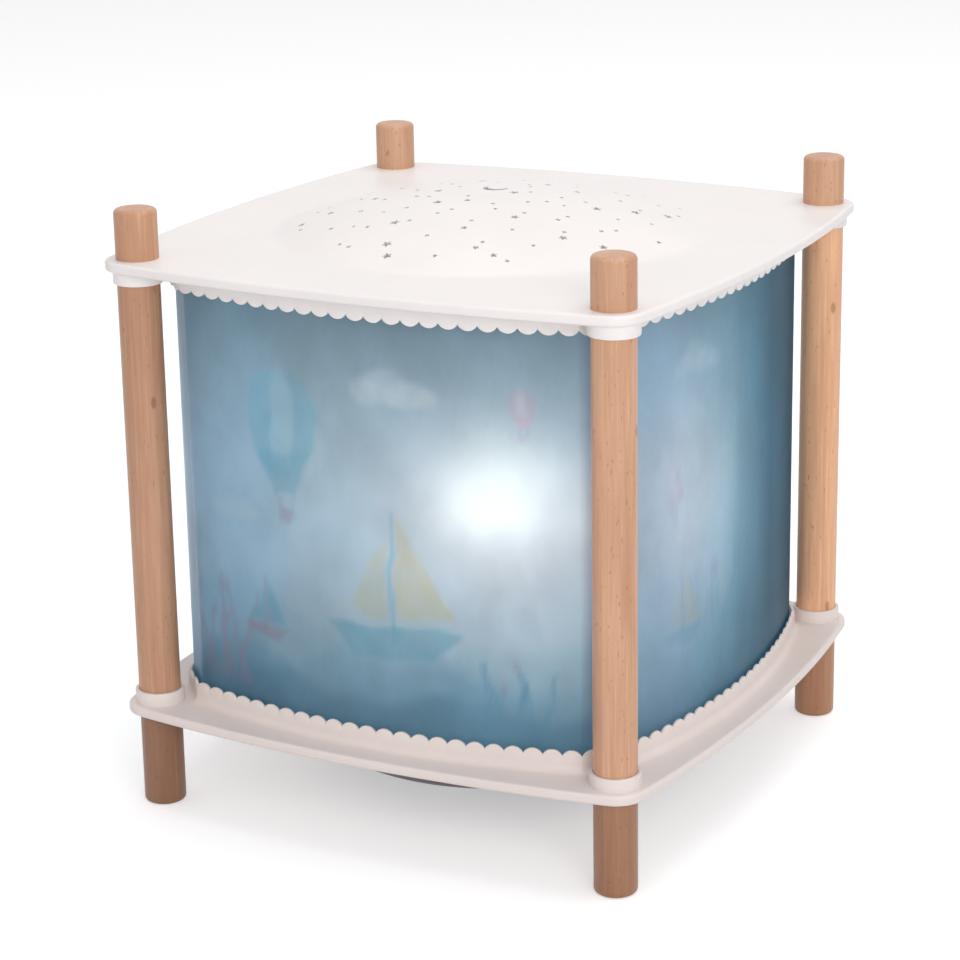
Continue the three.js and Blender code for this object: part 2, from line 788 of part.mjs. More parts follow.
function addColumn() {
  const bore = column_radius - column_wall;
  const flange = column_radius + column_flange_width;
  addPart('lamp_column', 'white_plastic', closeSurface(revolve([
    [bore, lower_plate_z - column_tail], [column_radius, lower_plate_z - column_tail],
    [column_radius, lower_deck_z], [flange, lower_deck_z],
    [flange, column_flange_z], [column_radius, column_flange_z],
    [column_radius, column_top_z], [bore, column_top_z], [bore, lower_plate_z - column_tail],
  ], bearing_facets)));
  addPart('thrust_washer', 'bearing_plastic', closeSurface(tube(
    column_radius + column_hole_play, flange,
    column_flange_z, column_flange_z + thrust_washer_thickness, bearing_facets)));
  const nut_shape = new THREE.Shape(onCircle(6, nut_radius, 0)
    .map(([x, y]) => new THREE.Vector2(x, y)));
  nut_shape.holes.push(circlePath(column_radius + column_hole_play, bearing_facets));
  addPart('column_nut', 'steel', closeSurface(
    extrudeUp(nut_shape, lower_plate_z - nut_height, lower_plate_z)));
  addPart('retaining_clip', 'steel', retainingClip());
}

// An open clip that snaps round the column just above the hub
function retainingClip() {
  const low = hub_z + hub_length + clip_play;
  const inner = column_radius + column_hole_play;
  const half_mouth = column_radius * clip_mouth_share;
  const ring = toSolid(tube(inner, inner + clip_width, low, low + clip_thickness, bearing_facets));
  const mouth = block(
    [0, -half_mouth, low - overrun],
    [inner + clip_width + overrun, half_mouth, low + clip_thickness + overrun],
  );
  return toGeometry(cut(ring, [mouth]));
}

function addBulb() {
  const bore = column_radius + socket_play;
  const seat_radius = led_board_radius + led_board_play + bulb_wall;
  addPart('bulb_socket', 'white_plastic', closeSurface(revolve([
    [bore, socket_z], [bore + socket_neck_wall, socket_z],
    [bore + socket_neck_wall, socket_z + socket_floor], [seat_radius, socket_z + socket_grip],
    [seat_radius, bulb_seat_z], [wire_hole_radius, bulb_seat_z],
    [wire_hole_radius, column_top_z], [bore, column_top_z], [bore, socket_z],
  ], bearing_facets)));
  const board_top = bulb_seat_z + led_board_thickness;
  addPart('led_board', 'white_plastic', closeSurface(
    tube(wire_hole_radius, led_board_radius, bulb_seat_z, board_top, bulb_facets)));
  onCircle(led_count, led_circle_radius, 0).forEach(([x, y], i) => {
    const half = led_width / 2;
    const chip = block([x - half, y - half, board_top], [x + half, y + half, board_top + led_height]);
    addPart(`led_${i + 1}`, 'led_yellow', closeSurface(chip));
  });
  addPart('bulb_globe', 'frosted', closeSurface(bulbGlobe(seat_radius)));
}

// A frosted ball on a short neck, open at the bottom where it sits on its socket
function bulbGlobe(neck_radius) {
  const reach = Math.sqrt(bulb_radius ** 2 - neck_radius ** 2);
  const centre_z = bulb_seat_z + led_board_thickness + led_height + reach;
  const shell = (radius, neck) => {
    const start = Math.PI - Math.asin(neck / radius);
    const profile = [[neck, bulb_seat_z]];
    for (let i = 0; i < bulb_rings; i += 1) {
      const angle = start * (1 - i / bulb_rings);
      profile.push([radius * Math.sin(angle), centre_z + radius * Math.cos(angle)]);
    }
    profile.push([0, centre_z + radius]);
    return profile;
  };
  const outer = shell(bulb_radius, neck_radius);
  const inner = shell(bulb_radius - bulb_wall, neck_radius - bulb_wall);
  return revolve([...inner.slice().reverse(), ...outer], bulb_facets);
}

// Gear motor that hangs by two ears from the lower plate, with its shaft through the plate
function addMotor() {
  const ear_z = lower_plate_z - motor_ear_thickness;
  const low = lower_plate_z - motor_height;
  const shaft_radius = motor_shaft_diameter / 2;
  const shaft_low = lower_plate_z - motor_shaft_insert;
  const shaft_high = gear_z + gear_face_width;
  const can = rod(motor_radius, low, lower_plate_z, motor_facets);
  const ear = block(
    [-motor_ear_reach, -motor_ear_radius, ear_z],
    [motor_ear_reach, motor_ear_radius, lower_plate_z],
  );
  const ear_ends = [-1, 1].map((side) =>
    rod(motor_ear_radius, ear_z, lower_plate_z, screw_facets, side * motor_ear_reach, 0));
  const above = lower_plate_z + overrun;
  const holes = [-1, 1].map((side) =>
    rod(screw_radius + screw_play, ear_z - overrun, above, screw_facets, side * motor_ear_reach, 0));
  const shaft_hole = rod(shaft_radius + shaft_play, shaft_low - overrun, above, motor_facets);
  const body = cut(joined(toSolid(can), [ear, ...ear_ends]), [...holes, shaft_hole]);
  addPart('gear_motor', 'steel', toGeometry(body).translate(0, -motor_offset, 0));
  addPart('motor_shaft', 'steel', closeSurface(
    rod(shaft_radius, shaft_low, shaft_high, motor_facets / 2, 0, -motor_offset)));
  const pinion = gearShape(pinion_teeth, Math.PI / pinion_teeth);
  pinion.holes.push(circlePath(shaft_radius + shaft_play, motor_facets / 2));
  addPart('motor_pinion', 'bearing_plastic', closeSurface(
    extrudeUp(pinion, gear_z, shaft_high).translate(0, -motor_offset, 0)));
  motorScrewPlaces().forEach(([x, y], i) => addPart(`motor_screw_${i + 1}`, 'steel',
    screw(x, y, ear_z, lower_deck_z - screw_end_gap)));
}

// A screw driven upwards: its head hangs below seat_z and its shank ends at end_z
function screw(x, y, seat_z, end_z) {
  const low = seat_z - screw_head_height;
  return closeSurface(revolve([
    [0, low], [screw_head_radius, low], [screw_head_radius, seat_z],
    [screw_radius, seat_z], [screw_radius, end_z], [0, end_z],
  ], screw_facets).translate(x, y, 0));
}

// Base housing: a dish under the lower plate, closed from below by a round cover
const base_side_z = base_floor_z + base_side_height;

function baseCurve(inset) {
  const slope = new THREE.Vector2(base_knee_radius - base_mouth_radius, base_knee_height);
  const inward = new THREE.Vector2(-slope.y, slope.x).normalize().multiplyScalar(inset);
  const knee = new THREE.Vector2(base_knee_radius, base_floor_z + base_knee_height).add(inward);
  const side = new THREE.Vector2(base_radius - inset, base_side_z);
  const along = (side.x - knee.x) / slope.x;
  const bend = new THREE.Vector2(side.x, knee.y + slope.y * along);
  const curve = new THREE.QuadraticBezierCurve(knee, bend, side);
  return { inward, slope, points: curve.getPoints(base_curve_steps).map((p) => [p.x, p.y]) };
}

function baseOuter() {
  return revolve([
    [0, base_floor_z], [base_mouth_radius, base_floor_z], ...baseCurve(0).points,
    [base_radius, lower_plate_z], [0, lower_plate_z],
  ], base_facets);
}

function baseCavity(top) {
  const { inward, slope, points } = baseCurve(base_wall);
  const mouth = new THREE.Vector2(base_mouth_radius, base_floor_z).add(inward);
  const floor_radius = mouth.x + slope.x * (ledge_z - mouth.y) / slope.y;
  return revolve([
    [0, ledge_z], [floor_radius, ledge_z], ...points,
    [base_radius - base_wall, top], [0, top],
  ], base_facets);
}

const cover_radius = base_mouth_radius - cover_lip;
const cover_screw_circle = cover_radius - ledge_width / 2;
const cover_screw_places = onCircle(cover_screw_count, cover_screw_circle, cover_screw_turn);
const board_outer_x = board_edge_gap - Math.sqrt((base_radius - base_wall) ** 2 - (board_width / 2) ** 2);
const board_inner_x = board_outer_x + board_length;
const board_post_places = [-1, 1].map((side) =>
  [board_inner_x - board_post_inset, side * board_post_spread]);

function portShape(width, height, facets) {
  const radius = height / 2;
  const reach = width / 2 - radius;
  const arc = (x, from) => Array.from({ length: facets + 1 }, (_, i) => {
    const angle = from + i * Math.PI / facets;
    return new THREE.Vector2(x + radius * Math.cos(angle), radius * Math.sin(angle));
  });
  return [...arc(reach, -Math.PI / 2), ...arc(-reach, Math.PI / 2)];
}

// Runs a shape drawn in (y, z) along +X from start to end
function extrudeAlongX(points, holes, start, end, y, z) {
  const shape = new THREE.Shape(points);
  holes.forEach((hole) => shape.holes.push(new THREE.Path(hole)));
  return new THREE.ExtrudeGeometry(shape, { depth: end - start, bevelEnabled: false })
    .rotateX(Math.PI / 2).rotateZ(Math.PI / 2).translate(start, y, z);
}

const port_facets = 4;
const port_z = board_deck_z + port_height / 2;
const wall_at_ports = -Math.sqrt(base_radius ** 2 - port_offset ** 2);
const port_mouth_x = wall_at_ports + port_recess;
const button_flange_x = -Math.sqrt((base_radius - base_wall) ** 2
  - (port_offset + button_radius + button_flange_width) ** 2) + button_flange_gap;

function addBase() {
  const inside = base_boss_places.map(([x, y]) =>
    rod(base_boss_radius, base_floor_z, lower_plate_z, boss_facets, x, y));
  const board_posts = board_post_places.map(([x, y]) =>
    rod(board_post_radius, base_floor_z, board_z, screw_facets, x, y));
  const hollow = cut(toSolid(baseCavity(lower_plate_z + overrun)), [...inside, ...board_posts]);
  const screw_hole = screw_radius + screw_play;
  const head_hole = screw_head_radius + screw_play;
  const head_z = base_floor_z + base_screw_seat;
  const under = base_floor_z - overrun;
  const above = lower_plate_z + overrun;
  const wall_far = -base_radius - overrun;
  const wall_near = -base_radius + base_wall * 2;
  const port_hole = portShape(port_width + 2 * port_play, port_height + 2 * port_play, port_facets);
  const body = cut(toSolid(baseOuter()).subtract(hollow), [
    rod(base_mouth_radius - cover_lip + cover_play, under, cover_seat_z, base_facets),
    rod(base_mouth_radius - cover_lip - ledge_width, under, ledge_z + overrun, base_facets),
    ...cover_screw_places.map(([x, y]) => rod(screw_hole, under, ledge_z + overrun, screw_facets, x, y)),
    ...base_boss_places.map(([x, y]) => rod(screw_hole, under, above, screw_facets, x, y)),
    ...base_boss_places.map(([x, y]) => rod(head_hole, under, head_z, screw_facets, x, y)),
    extrudeAlongX(port_hole, [], wall_far, wall_near, -port_offset, port_z),
    lyingRod(button_radius + button_play, wall_far, wall_near, button_facets, port_offset, switch_z),
  ]);
  addPart('base_housing', 'grey_plastic', toGeometry(body));
  base_boss_places.forEach(([x, y], i) =>
    addPart(`base_screw_${i + 1}`, 'steel', screw(x, y, head_z, lower_deck_z - screw_end_gap)));
  const recess_z = base_floor_z + cover_screw_sink + screw_head_height;
  const cover = cut(toSolid(rod(cover_radius, base_floor_z, cover_seat_z, base_facets)), [
    ...cover_screw_places.map(([x, y]) => rod(screw_hole, under, ledge_z, screw_facets, x, y)),
    ...cover_screw_places.map(([x, y]) => rod(head_hole, under, recess_z, screw_facets, x, y)),
  ]);
  addPart('base_cover', 'grey_plastic', toGeometry(cover));
  cover_screw_places.forEach(([x, y], i) =>
    addPart(`cover_screw_${i + 1}`, 'steel', screw(x, y, recess_z, ledge_z)));
}

function addBattery() {
  const centre_z = lower_plate_z - battery_gap_above - battery_radius;
  const half = battery_length / 2;
  const cell = lyingRod(battery_radius, -half, half, battery_facets, battery_offset, centre_z);
  const tip = lyingRod(battery_tip_radius, half - battery_tip_length, half + battery_tip_length,
    screw_facets, battery_offset, centre_z);
  addPart('battery_cell', 'battery_wrap', toGeometry(joined(toSolid(cell), [tip])));
  const end_x = battery_room + holder_wall;
  const side = battery_reach + holder_wall;
  const shell = block([-end_x, battery_offset - side, centre_z], [end_x, battery_offset + side, lower_plate_z]);
  const trough = lyingRod(battery_reach, -battery_room, battery_room,
    battery_facets, battery_offset, centre_z);
  addPart('battery_holder', 'black_plastic', toGeometry(cut(toSolid(shell), [trough])));
}

function addElectronics() {
  const half_width = board_width / 2;
  addPart('circuit_board', 'board_green', closeSurface(block(
    [board_outer_x, -half_width, board_z], [board_inner_x, half_width, board_deck_z])));
  const mouth = portShape(port_width - 2 * port_wall, port_height - 2 * port_wall, port_facets);
  const outline = portShape(port_width, port_height, port_facets);
  const back_x = port_mouth_x + port_depth;
  const shell = extrudeAlongX(outline, [mouth], port_mouth_x, back_x - port_back, -port_offset, port_z);
  const back = extrudeAlongX(outline, [], back_x - 2 * port_back, back_x, -port_offset, port_z);
  const half_tongue = port_tongue_width / 2;
  const tongue = block(
    [port_mouth_x + port_tongue_inset, -port_offset - half_tongue, port_z - port_tongue_height / 2],
    [back_x - port_back, -port_offset + half_tongue, port_z + port_tongue_height / 2],
  );
  addPart('charging_socket', 'steel', toGeometry(joined(toSolid(shell), [back, tongue])));
  const half_switch = switch_size / 2;
  const switch_body = block(
    [board_outer_x, port_offset - half_switch, board_deck_z],
    [board_outer_x + switch_size, port_offset + half_switch, board_deck_z + switch_height],
  );
  const bore_end = board_outer_x + button_stem_overlap + button_travel + switch_end_play;
  const bore = lyingRod(button_stem_radius + button_play, board_outer_x - overrun, bore_end,
    button_facets / 2, port_offset, switch_z);
  addPart('power_switch', 'black_plastic', toGeometry(cut(toSolid(switch_body), [bore])));
  addPart('power_button', 'white_plastic', powerButton());
}

// The button's cap, its flange behind the wall and the stem that runs in the switch
function powerButton() {
  const tip_x = board_outer_x + button_stem_overlap;
  const back_x = button_flange_x + button_flange_thickness;
  const cap_x = -Math.sqrt(base_radius ** 2 - port_offset ** 2) - button_proud;
  const profile = [
    [0, tip_x], [button_stem_radius, tip_x], [button_stem_radius, back_x],
    [button_radius + button_flange_width, back_x], [button_radius + button_flange_width, button_flange_x],
    [button_radius, button_flange_x], [button_radius, cap_x + button_round],
    [button_radius - button_round, cap_x], [0, cap_x],
  ];
  return closeSurface(revolve(profile, button_facets).rotateY(Math.PI / 2)
    .translate(0, port_offset, switch_z));
}

addPosts();
addUpperPlate();
addLowerPlate();
addShade();
addDrum();
addColumn();
addBulb();
addMotor();
addBase();
addBattery();
addElectronics();

export default lamp;
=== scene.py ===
# Rotating motion lamp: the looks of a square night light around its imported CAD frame.
# Lengths are in millimetres until a mesh is written, and in metres in the scene itself.
import math

import bpy
import numpy as np
from mathutils import Matrix, Vector


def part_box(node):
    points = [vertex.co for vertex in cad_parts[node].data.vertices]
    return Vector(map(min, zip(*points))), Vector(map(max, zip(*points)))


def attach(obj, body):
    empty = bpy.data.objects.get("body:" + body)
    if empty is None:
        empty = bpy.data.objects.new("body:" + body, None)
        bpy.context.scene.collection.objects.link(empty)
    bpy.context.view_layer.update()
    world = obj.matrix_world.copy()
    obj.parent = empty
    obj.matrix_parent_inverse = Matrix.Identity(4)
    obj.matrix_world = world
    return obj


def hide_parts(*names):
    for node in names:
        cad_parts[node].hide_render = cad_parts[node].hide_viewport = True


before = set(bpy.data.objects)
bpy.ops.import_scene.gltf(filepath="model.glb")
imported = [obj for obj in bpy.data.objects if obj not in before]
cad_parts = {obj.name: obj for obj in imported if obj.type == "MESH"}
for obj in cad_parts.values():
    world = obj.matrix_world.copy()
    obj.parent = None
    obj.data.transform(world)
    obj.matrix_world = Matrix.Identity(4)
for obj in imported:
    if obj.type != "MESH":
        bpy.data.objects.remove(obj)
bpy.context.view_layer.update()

MM = 0.001


def box(node):
    low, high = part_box(node)
    return low / MM, high / MM


def middle(node):
    """The centre of a node's box, and the box's size."""
    low, high = box(node)
    return (low + high) / 2, high - low


# Sizes that the frame gives
post_low, post_high = box("pillar_near_right")
half_spacing = (post_low.x + post_high.x) / 2
posts = {"near_right": (half_spacing, -half_spacing), "far_right": (half_spacing, half_spacing),
         "far_left": (-half_spacing, half_spacing), "near_left": (-half_spacing, -half_spacing)}
post_radius = (post_high.x - post_low.x) / 2
foot_top_z = box("foot_near_right")[1].z
lower_deck_z = post_low.z
upper_plate_z = post_high.z
upper_deck_z, finial_top_z = [corner.z for corner in box("finial_near_right")]
plate_half_width = box("upper_plate")[1].x
dome_top_z = box("upper_plate")[1].z
plate_thickness = upper_deck_z - upper_plate_z
collar_height = upper_plate_z - box("upper_plate")[0].z
ring_half_width = box("upper_scallop_ring")[1].x
ring_height = upper_plate_z - box("upper_scallop_ring")[0].z
shade_half_width = box("shade_film")[1].x
drum_radius = box("drum_film")[1].x
film_low_z, film_high_z = [corner.z for corner in box("drum_film")]
bulb_low_z, bulb_top_z = [corner.z for corner in box("bulb_globe")]
base_low_z = box("base_housing")[0].z
base_radius = box("base_housing")[1].y

# Sizes of the CAD part that its boxes don't give
post_end_round = 1.3
post_joint_chamfer = 0.4
plate_margin = 9
plate_edge_round = 0.9
plate_middle_radius = 30
column_bore_radius = 5.2
shaft_bore_radius = 2.3
collar_wall = 0.9
collar_play = 0.12
collar_round = 0.3
dome_radius = 62
dome_wall = 2.2
dome_blend_radius = 12
ring_corner_length = 12
ring_corner_gap = 2.5
ring_wall = 1.5
ring_tip_wall = 0.9
ring_edge_round = 0.25
ring_cove = 2.2
scallop_pitch = 5.4
scallop_depth = 1.55
shade_wall = 0.8
drum_film_wall = 0.8
drum_panels = 5
bulb_radius = 14.5
bulb_neck_radius = 12.8
bulb_wall = 1

# Where the glow in the shade comes from: how far towards a lit side, how far along it, and how high
glow_shift = 20
glow_slide = 30
glow_z = 101

# Base
base_mouth_radius = 34
base_mouth_round = 0.35
base_side_run = 6
base_knee_height = 7
base_side_height = 14
base_wall = 2
cover_thickness = 2.2
cover_seat_z = base_low_z + cover_thickness
cover_lip = 1.2
cover_play = 0.3
ledge_thickness = 1.8
ledge_z = cover_seat_z + ledge_thickness
ledge_width = 7
boss_radius = 4
screw_radius = 1.25
screw_head_radius = 2.3
screw_head_height = 1.6
screw_head_round = 0.5
screw_slot_reach = 1.426
screw_slot_half_width = 0.3
screw_slot_depth = 0.9
screw_play = 0.15
port_play = 0.25
port_wall = 0.4
port_back = 1.2
port_tongue_width = 6.6
port_tongue_height = 0.7
port_tongue_inset = 0.8
button_play = 0.2
button_round = 0.7
button_flange_width = 0.8
button_flange_thickness = 1
button_flange_reach = 4.56
button_stem_radius = 1.4

# Star holes: a spiral of stars, tiny stars between them, and two crescents
golden_angle = math.pi * (3 - math.sqrt(5))
star_count = 72
star_field_radius = 56
star_radius = 1.75
star_waist_share = 0.46
small_star_share = 0.65
star_size_shares = [1, 0.55, 0.72, 0.5, 0.86, 0.6, 0.46]
star_drift_share = 0.34
tiny_star_count = 64
tiny_star_radius = 0.95
tiny_star_turn = 1.9
tiny_star_gap = 3.4
moon_radius = 3.6
moon_bite_share = 0.82
moon_bite_offset_share = 0.42
moon_place_shares = [(-0.02, 0.08), (0.16, 0.83)]


# Meshes

def turned(point, angle):
    c, s = math.cos(angle), math.sin(angle)
    return (point[0] * c - point[1] * s, point[0] * s + point[1] * c)


def on_circle(count, radius, turn=0):
    return [turned((radius, 0), turn + i * 2 * math.pi / count) for i in range(count)]


def smooth(piece, sharp_angle=30):
    mesh = piece.data
    mesh.polygons.foreach_set("use_smooth", [True] * len(mesh.polygons))
    mesh.set_sharp_from_angle(angle=math.radians(sharp_angle))


def add_piece(name, points, faces, sharp_angle=30):
    mesh = bpy.data.meshes.new(name)
    mesh.from_pydata([tuple(p) for p in np.asarray(points, float) * MM], [], faces)
    mesh.update()
    piece = bpy.data.objects.new(name, mesh)
    bpy.context.scene.collection.objects.link(piece)
    smooth(piece, sharp_angle)
    return piece


def ring_faces(rings, count, closed=False):
    """Quads between rings of points, each anticlockwise, from the first outwards or up."""
    faces = []
    for k in range(rings if closed else rings - 1):
        low, high = k * count, (k + 1) % rings * count
        for i in range(count):
            after = (i + 1) % count
            faces.append((low + i, low + after, high + after, high + i))
    return faces


def cap_ends(points, faces, rings, count, poles):
    """Closes the first and the last ring with fans to their poles."""
    for pole, start, flip in ((poles[0], 0, True), (poles[1], (rings - 1) * count, False)):
        apex = len(points)
        points.append(pole)
        for i in range(count):
            a, b = start + i, start + (i + 1) % count
            faces.append((b, a, apex) if flip else (a, b, apex))


def lathe_shape(profile, segments=64, centre=(0, 0)):
    """Points and faces of a profile of (radius, height) pairs turned about Z. The material lies to
    the left of the path as it runs up the outside. Radius 0 at both ends closes it with fans."""
    x, y = centre
    path = [p for p in profile if p[0] > 0]
    points = [(x + r * c, y + r * s, z) for r, z in path for c, s in on_circle(segments, 1)]
    capped = profile[0][0] == 0
    faces = ring_faces(len(path), segments, closed=not capped)
    if capped:
        poles = [(x, y, z) for _, z in (profile[0], profile[-1])]
        cap_ends(points, faces, len(path), segments, poles)
    return points, faces


def lathe(name, profile, segments=64, centre=(0, 0)):
    return add_piece(name, *lathe_shape(profile, segments, centre))


def rectangle(half_x, half_y, x=0, y=0):
    return [(x - half_x, y - half_y), (x + half_x, y - half_y),
            (x + half_x, y + half_y), (x - half_x, y + half_y)]


def prism(outline, low, high):
    """Points and faces of a flat outline run up from low to high."""
    count = len(outline)
    points = [(x, y, z) for z in (low, high) for x, y in outline]
    faces = [tuple(reversed(range(count))), tuple(range(count, 2 * count))]
    return points, faces + ring_faces(2, count)


def merged(shapes):
    points, faces = [], []
    for more_points, more_faces in shapes:
        faces += [tuple(i + len(points) for i in face) for face in more_faces]
        points += list(more_points)
    return points, faces


def combine(piece, shapes, operation):
    """Joins shapes to a piece or cuts them from it."""
    tool = add_piece("tool", *merged(shapes))
    modifier = piece.modifiers.new("combine", "BOOLEAN")
    modifier.object = tool
    modifier.operation = operation
    modifier.solver = "EXACT"
    modifier.use_self = True
    graph = bpy.context.evaluated_depsgraph_get()
    mesh = bpy.data.meshes.new_from_object(piece.evaluated_get(graph))
    piece.modifiers.clear()
    piece.data = mesh
    bpy.data.objects.remove(tool)
    smooth(piece)


def arc(centre, radius, start, end, steps):
    """Points of a circular arc in a profile. Angles are in degrees from the outward direction."""
    return [(centre[0] + radius * math.cos(math.radians(start + (end - start) * i / steps)),
             centre[1] + radius * math.sin(math.radians(start + (end - start) * i / steps)))
            for i in range(steps + 1)]


def dress(piece, look, node, body="root"):
    """Gives a piece its look and its body, and puts it in its CAD node's place."""
    piece.data.materials.clear()
    piece.data.materials.append(look)
    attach(piece, body)
    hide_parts(node)


# Materials

class Nodes:
    """The nodes of a material or of the world."""

    def __init__(self, owner):
        owner.use_nodes = True
        self.nodes = owner.node_tree.nodes
        self.links = owner.node_tree.links

    def add(self, kind, inputs=None, **settings):
        node = self.nodes.new("ShaderNode" + kind)
        for key, value in settings.items():
            setattr(node, key, value)
        for key, value in (inputs or {}).items():
            self.put(node.inputs[key], value)
        return node

    def put(self, socket, value):
        if isinstance(value, bpy.types.NodeSocket):
            self.links.new(value, socket)
        else:
            socket.default_value = value

    def math(self, operation, a, b):
        return self.add("Math", {0: a, 1: b}, operation=operation).outputs[0]

    def times(self, vector, factor):
        return self.add("VectorMath", {0: vector, "Scale": factor}, operation="SCALE").outputs[0]

    def band(self, value, start, end, low=0.0, high=1.0):
        """Runs smoothly from low to high while the value runs from start to end."""
        inputs = {"Value": value, "From Min": start, "From Max": end, "To Min": low, "To Max": high}
        return self.add("MapRange", inputs, interpolation_type="SMOOTHSTEP").outputs[0]

    def blend(self, share, a, b):
        node = self.add("Mix", data_type="RGBA")
        for key, value in ((0, share), (6, a), (7, b)):
            self.put(node.inputs[key], (*value, 1.0) if isinstance(value, tuple) else value)
        return node.outputs[2]


class Look(Nodes):
    """A node material with one Principled shader."""

    def __init__(self, name, **settings):
        self.material = bpy.data.materials.new(name)
        super().__init__(self.material)
        self.shader = self.nodes["Principled BSDF"]
        self.place = self.add("TexCoord").outputs["Object"]
        for key, value in settings.items():
            self.set(key, value)

    def set(self, key, value):
        titled = key.replace("_", " ").title()
        name = {"specular": "Specular IOR Level", "ior": "IOR"}.get(key, titled)
        self.put(self.shader.inputs[name], value)

    def scaled(self, *factors):
        return self.add("VectorMath", {0: self.place, 1: factors}, operation="MULTIPLY").outputs[0]

    def noise(self, factors, detail, roughness):
        inputs = {"Vector": self.scaled(*factors), "Scale": 1.0, "Detail": detail,
                  "Roughness": roughness}
        return self.add("TexNoise", inputs).outputs["Fac"]

    def vary(self, key, noise, colour, dark_share):
        """Sets a colour that runs with the noise from a darker shade of itself."""
        darker = tuple(c * dark_share for c in colour)
        self.set(key, self.blend(self.band(noise, 0.3, 0.7), darker, colour))

    def bump(self, height, distance, strength):
        node = self.add("Bump", {"Height": height, "Distance": distance, "Strength": strength})
        self.put(self.shader.inputs["Normal"], node.outputs[0])


def beech(name, tone):
    """Beech whose grain runs up the post: soft streaks, pale and dark fibres, flecks and knots."""
    toned = lambda *colour: tuple(c * t for c, t in zip(colour, tone))
    look = Look(name, specular=0.5)
    cloud = look.noise((120, 120, 16), 3, 0.55)
    streak = look.noise((260, 260, 9), 4, 0.62)
    fine = look.noise((1500, 1500, 40), 3, 0.65)
    fleck = look.noise((1300, 1300, 460), 1, 0.4)
    cells = look.add("TexVoronoi", {"Vector": look.scaled(70, 70, 34), "Scale": 1.0})
    knot = cells.outputs["Distance"]
    mixed = look.math("MULTIPLY", look.math("ADD", cloud, streak), 0.5)
    colour = look.blend(look.band(mixed, 0.34, 0.66),
                        toned(0.55, 0.285, 0.165), toned(0.70, 0.41, 0.255))
    for share, over in ((look.band(fine, 0.52, 0.72, 0, 0.30), (0.45, 0.225, 0.12)),
                        (look.band(fine, 0.48, 0.30, 0, 0.34), (0.80, 0.53, 0.36)),
                        (look.band(fleck, 0.68, 0.77, 0, 0.6), (0.36, 0.17, 0.09)),
                        (look.band(knot, 0.04, 0.075, 0.6, 0), (0.26, 0.11, 0.055))):
        colour = look.blend(share, colour, toned(*over))
    look.set("base_color", colour)
    look.set("roughness", look.band(streak, 0.2, 0.8, 0.34, 0.48))
    look.bump(look.math("ADD", fine, fleck), 0.00006, 0.5)
    return look.material


def plastic(name, colour, roughness, speck=0.03, coat=0.0):
    look = Look(name, specular=0.45, coat_weight=coat)
    cloud = look.noise((38, 38, 38), 3, 0.55)
    grain = look.noise((1700, 1700, 1700), 2, 0.5)
    look.vary("base_color", cloud, colour, 1 - speck)
    look.set("roughness", look.band(cloud, 0.25, 0.75, roughness - 0.05, roughness + 0.05))
    look.bump(grain, 0.00002, 0.35)
    return look.material


def metal(name, colour, roughness):
    look = Look(name, metallic=1.0)
    brushed = look.noise((250, 250, 4200), 3, 0.6)
    look.vary("base_color", brushed, colour, 0.8)
    look.set("roughness", look.band(brushed, 0.3, 0.7, roughness - 0.06, roughness + 0.08))
    look.bump(brushed, 0.00001, 0.4)
    return look.material


def film(name, cover, roughness, passes, print_share, glow_strength, warmth):
    """A printed translucent film: its print comes from the mesh, and the bulb's light glows in it.
    It passes light on, blurred by its roughness, and is open between its fibres by 1 - cover."""
    look = Look(name, roughness=roughness, specular=0.2, transmission_weight=passes, ior=1.25)
    ink = look.add("VertexColor", layer_name="print").outputs["Color"]
    glow = look.add("Attribute", attribute_name="glow").outputs["Fac"]
    fibre = look.noise((900, 900, 240), 3, 0.6)
    threads = look.band(fibre, 0.3, 0.7, 0.985, 1.015)
    wash = look.band(look.noise((50, 50, 40), 3, 0.55), 0.25, 0.75, 0.91, 1.08)
    blotch = look.band(look.noise((210, 210, 150), 3, 0.55), 0.3, 0.7, 0.98, 1.02)
    mottle = look.math("MULTIPLY", wash, look.math("MULTIPLY", threads, blotch))
    tinted = look.times(ink, mottle)
    lit = look.times(tinted, look.math("MULTIPLY", glow, glow_strength))
    warm = look.add("VectorMath", {0: lit, 1: warmth}, operation="MULTIPLY").outputs[0]
    look.set("base_color", look.times(tinted, print_share))
    look.set("emission_color", look.blend(look.math("POWER", glow, 3.0), lit, warm))
    look.set("emission_strength", 1.0)
    look.bump(fibre, 0.00001, 0.3)
    if cover < 1:
        clear = look.add("BsdfTransparent").outputs[0]
        mix = look.add("MixShader", {0: cover, 1: clear, 2: look.shader.outputs[0]})
        look.put(look.nodes["Material Output"].inputs["Surface"], mix.outputs[0])
    return look.material


def glowing(name, colour, emission, strength, roughness):
    look = Look(name, roughness=roughness, specular=0.4)
    frost = look.noise((700, 700, 700), 3, 0.6)
    look.vary("base_color", frost, colour, 0.94)
    look.vary("emission_color", frost, emission, 0.95)
    look.set("emission_strength", strength)
    look.bump(frost, 0.00002, 0.4)
    return look.material


# Each post is turned from its own length of beech. The feet are painted darker, as painted shade
# under the lower plate, and the pillars' tones hold painted light and shade too.
finial_look = beech("beech_finial", (0.9, 0.87, 0.86))
# The pillars' tones differ a little, as lengths of beech do; the far right one is also painted
# lighter, as painted light, and the near left one darker, as painted shade
pillar_tones_with_painted_light = {"near_right": (0.95, 0.92, 0.91), "far_right": (1.24, 1.2, 1.12),
                "far_left": (0.98, 0.95, 0.94), "near_left": (0.8, 0.76, 0.74)}
# Painted shade: the feet's tones darken them as the shade under the lower plate would
painted_shade_foot_tones = {"near_right": (0.52, 0.44, 0.38), "far_right": (0.66, 0.56, 0.49),
              "far_left": (0.55, 0.46, 0.41), "near_left": (0.42, 0.36, 0.31)}
pillar_looks_with_painted_light = {corner: beech(f"beech_{corner}", tone) for corner, tone in pillar_tones_with_painted_light.items()}
painted_shade_foot_looks = {corner: beech(f"painted_shade_foot_{corner}", tone) for corner, tone in painted_shade_foot_tones.items()}

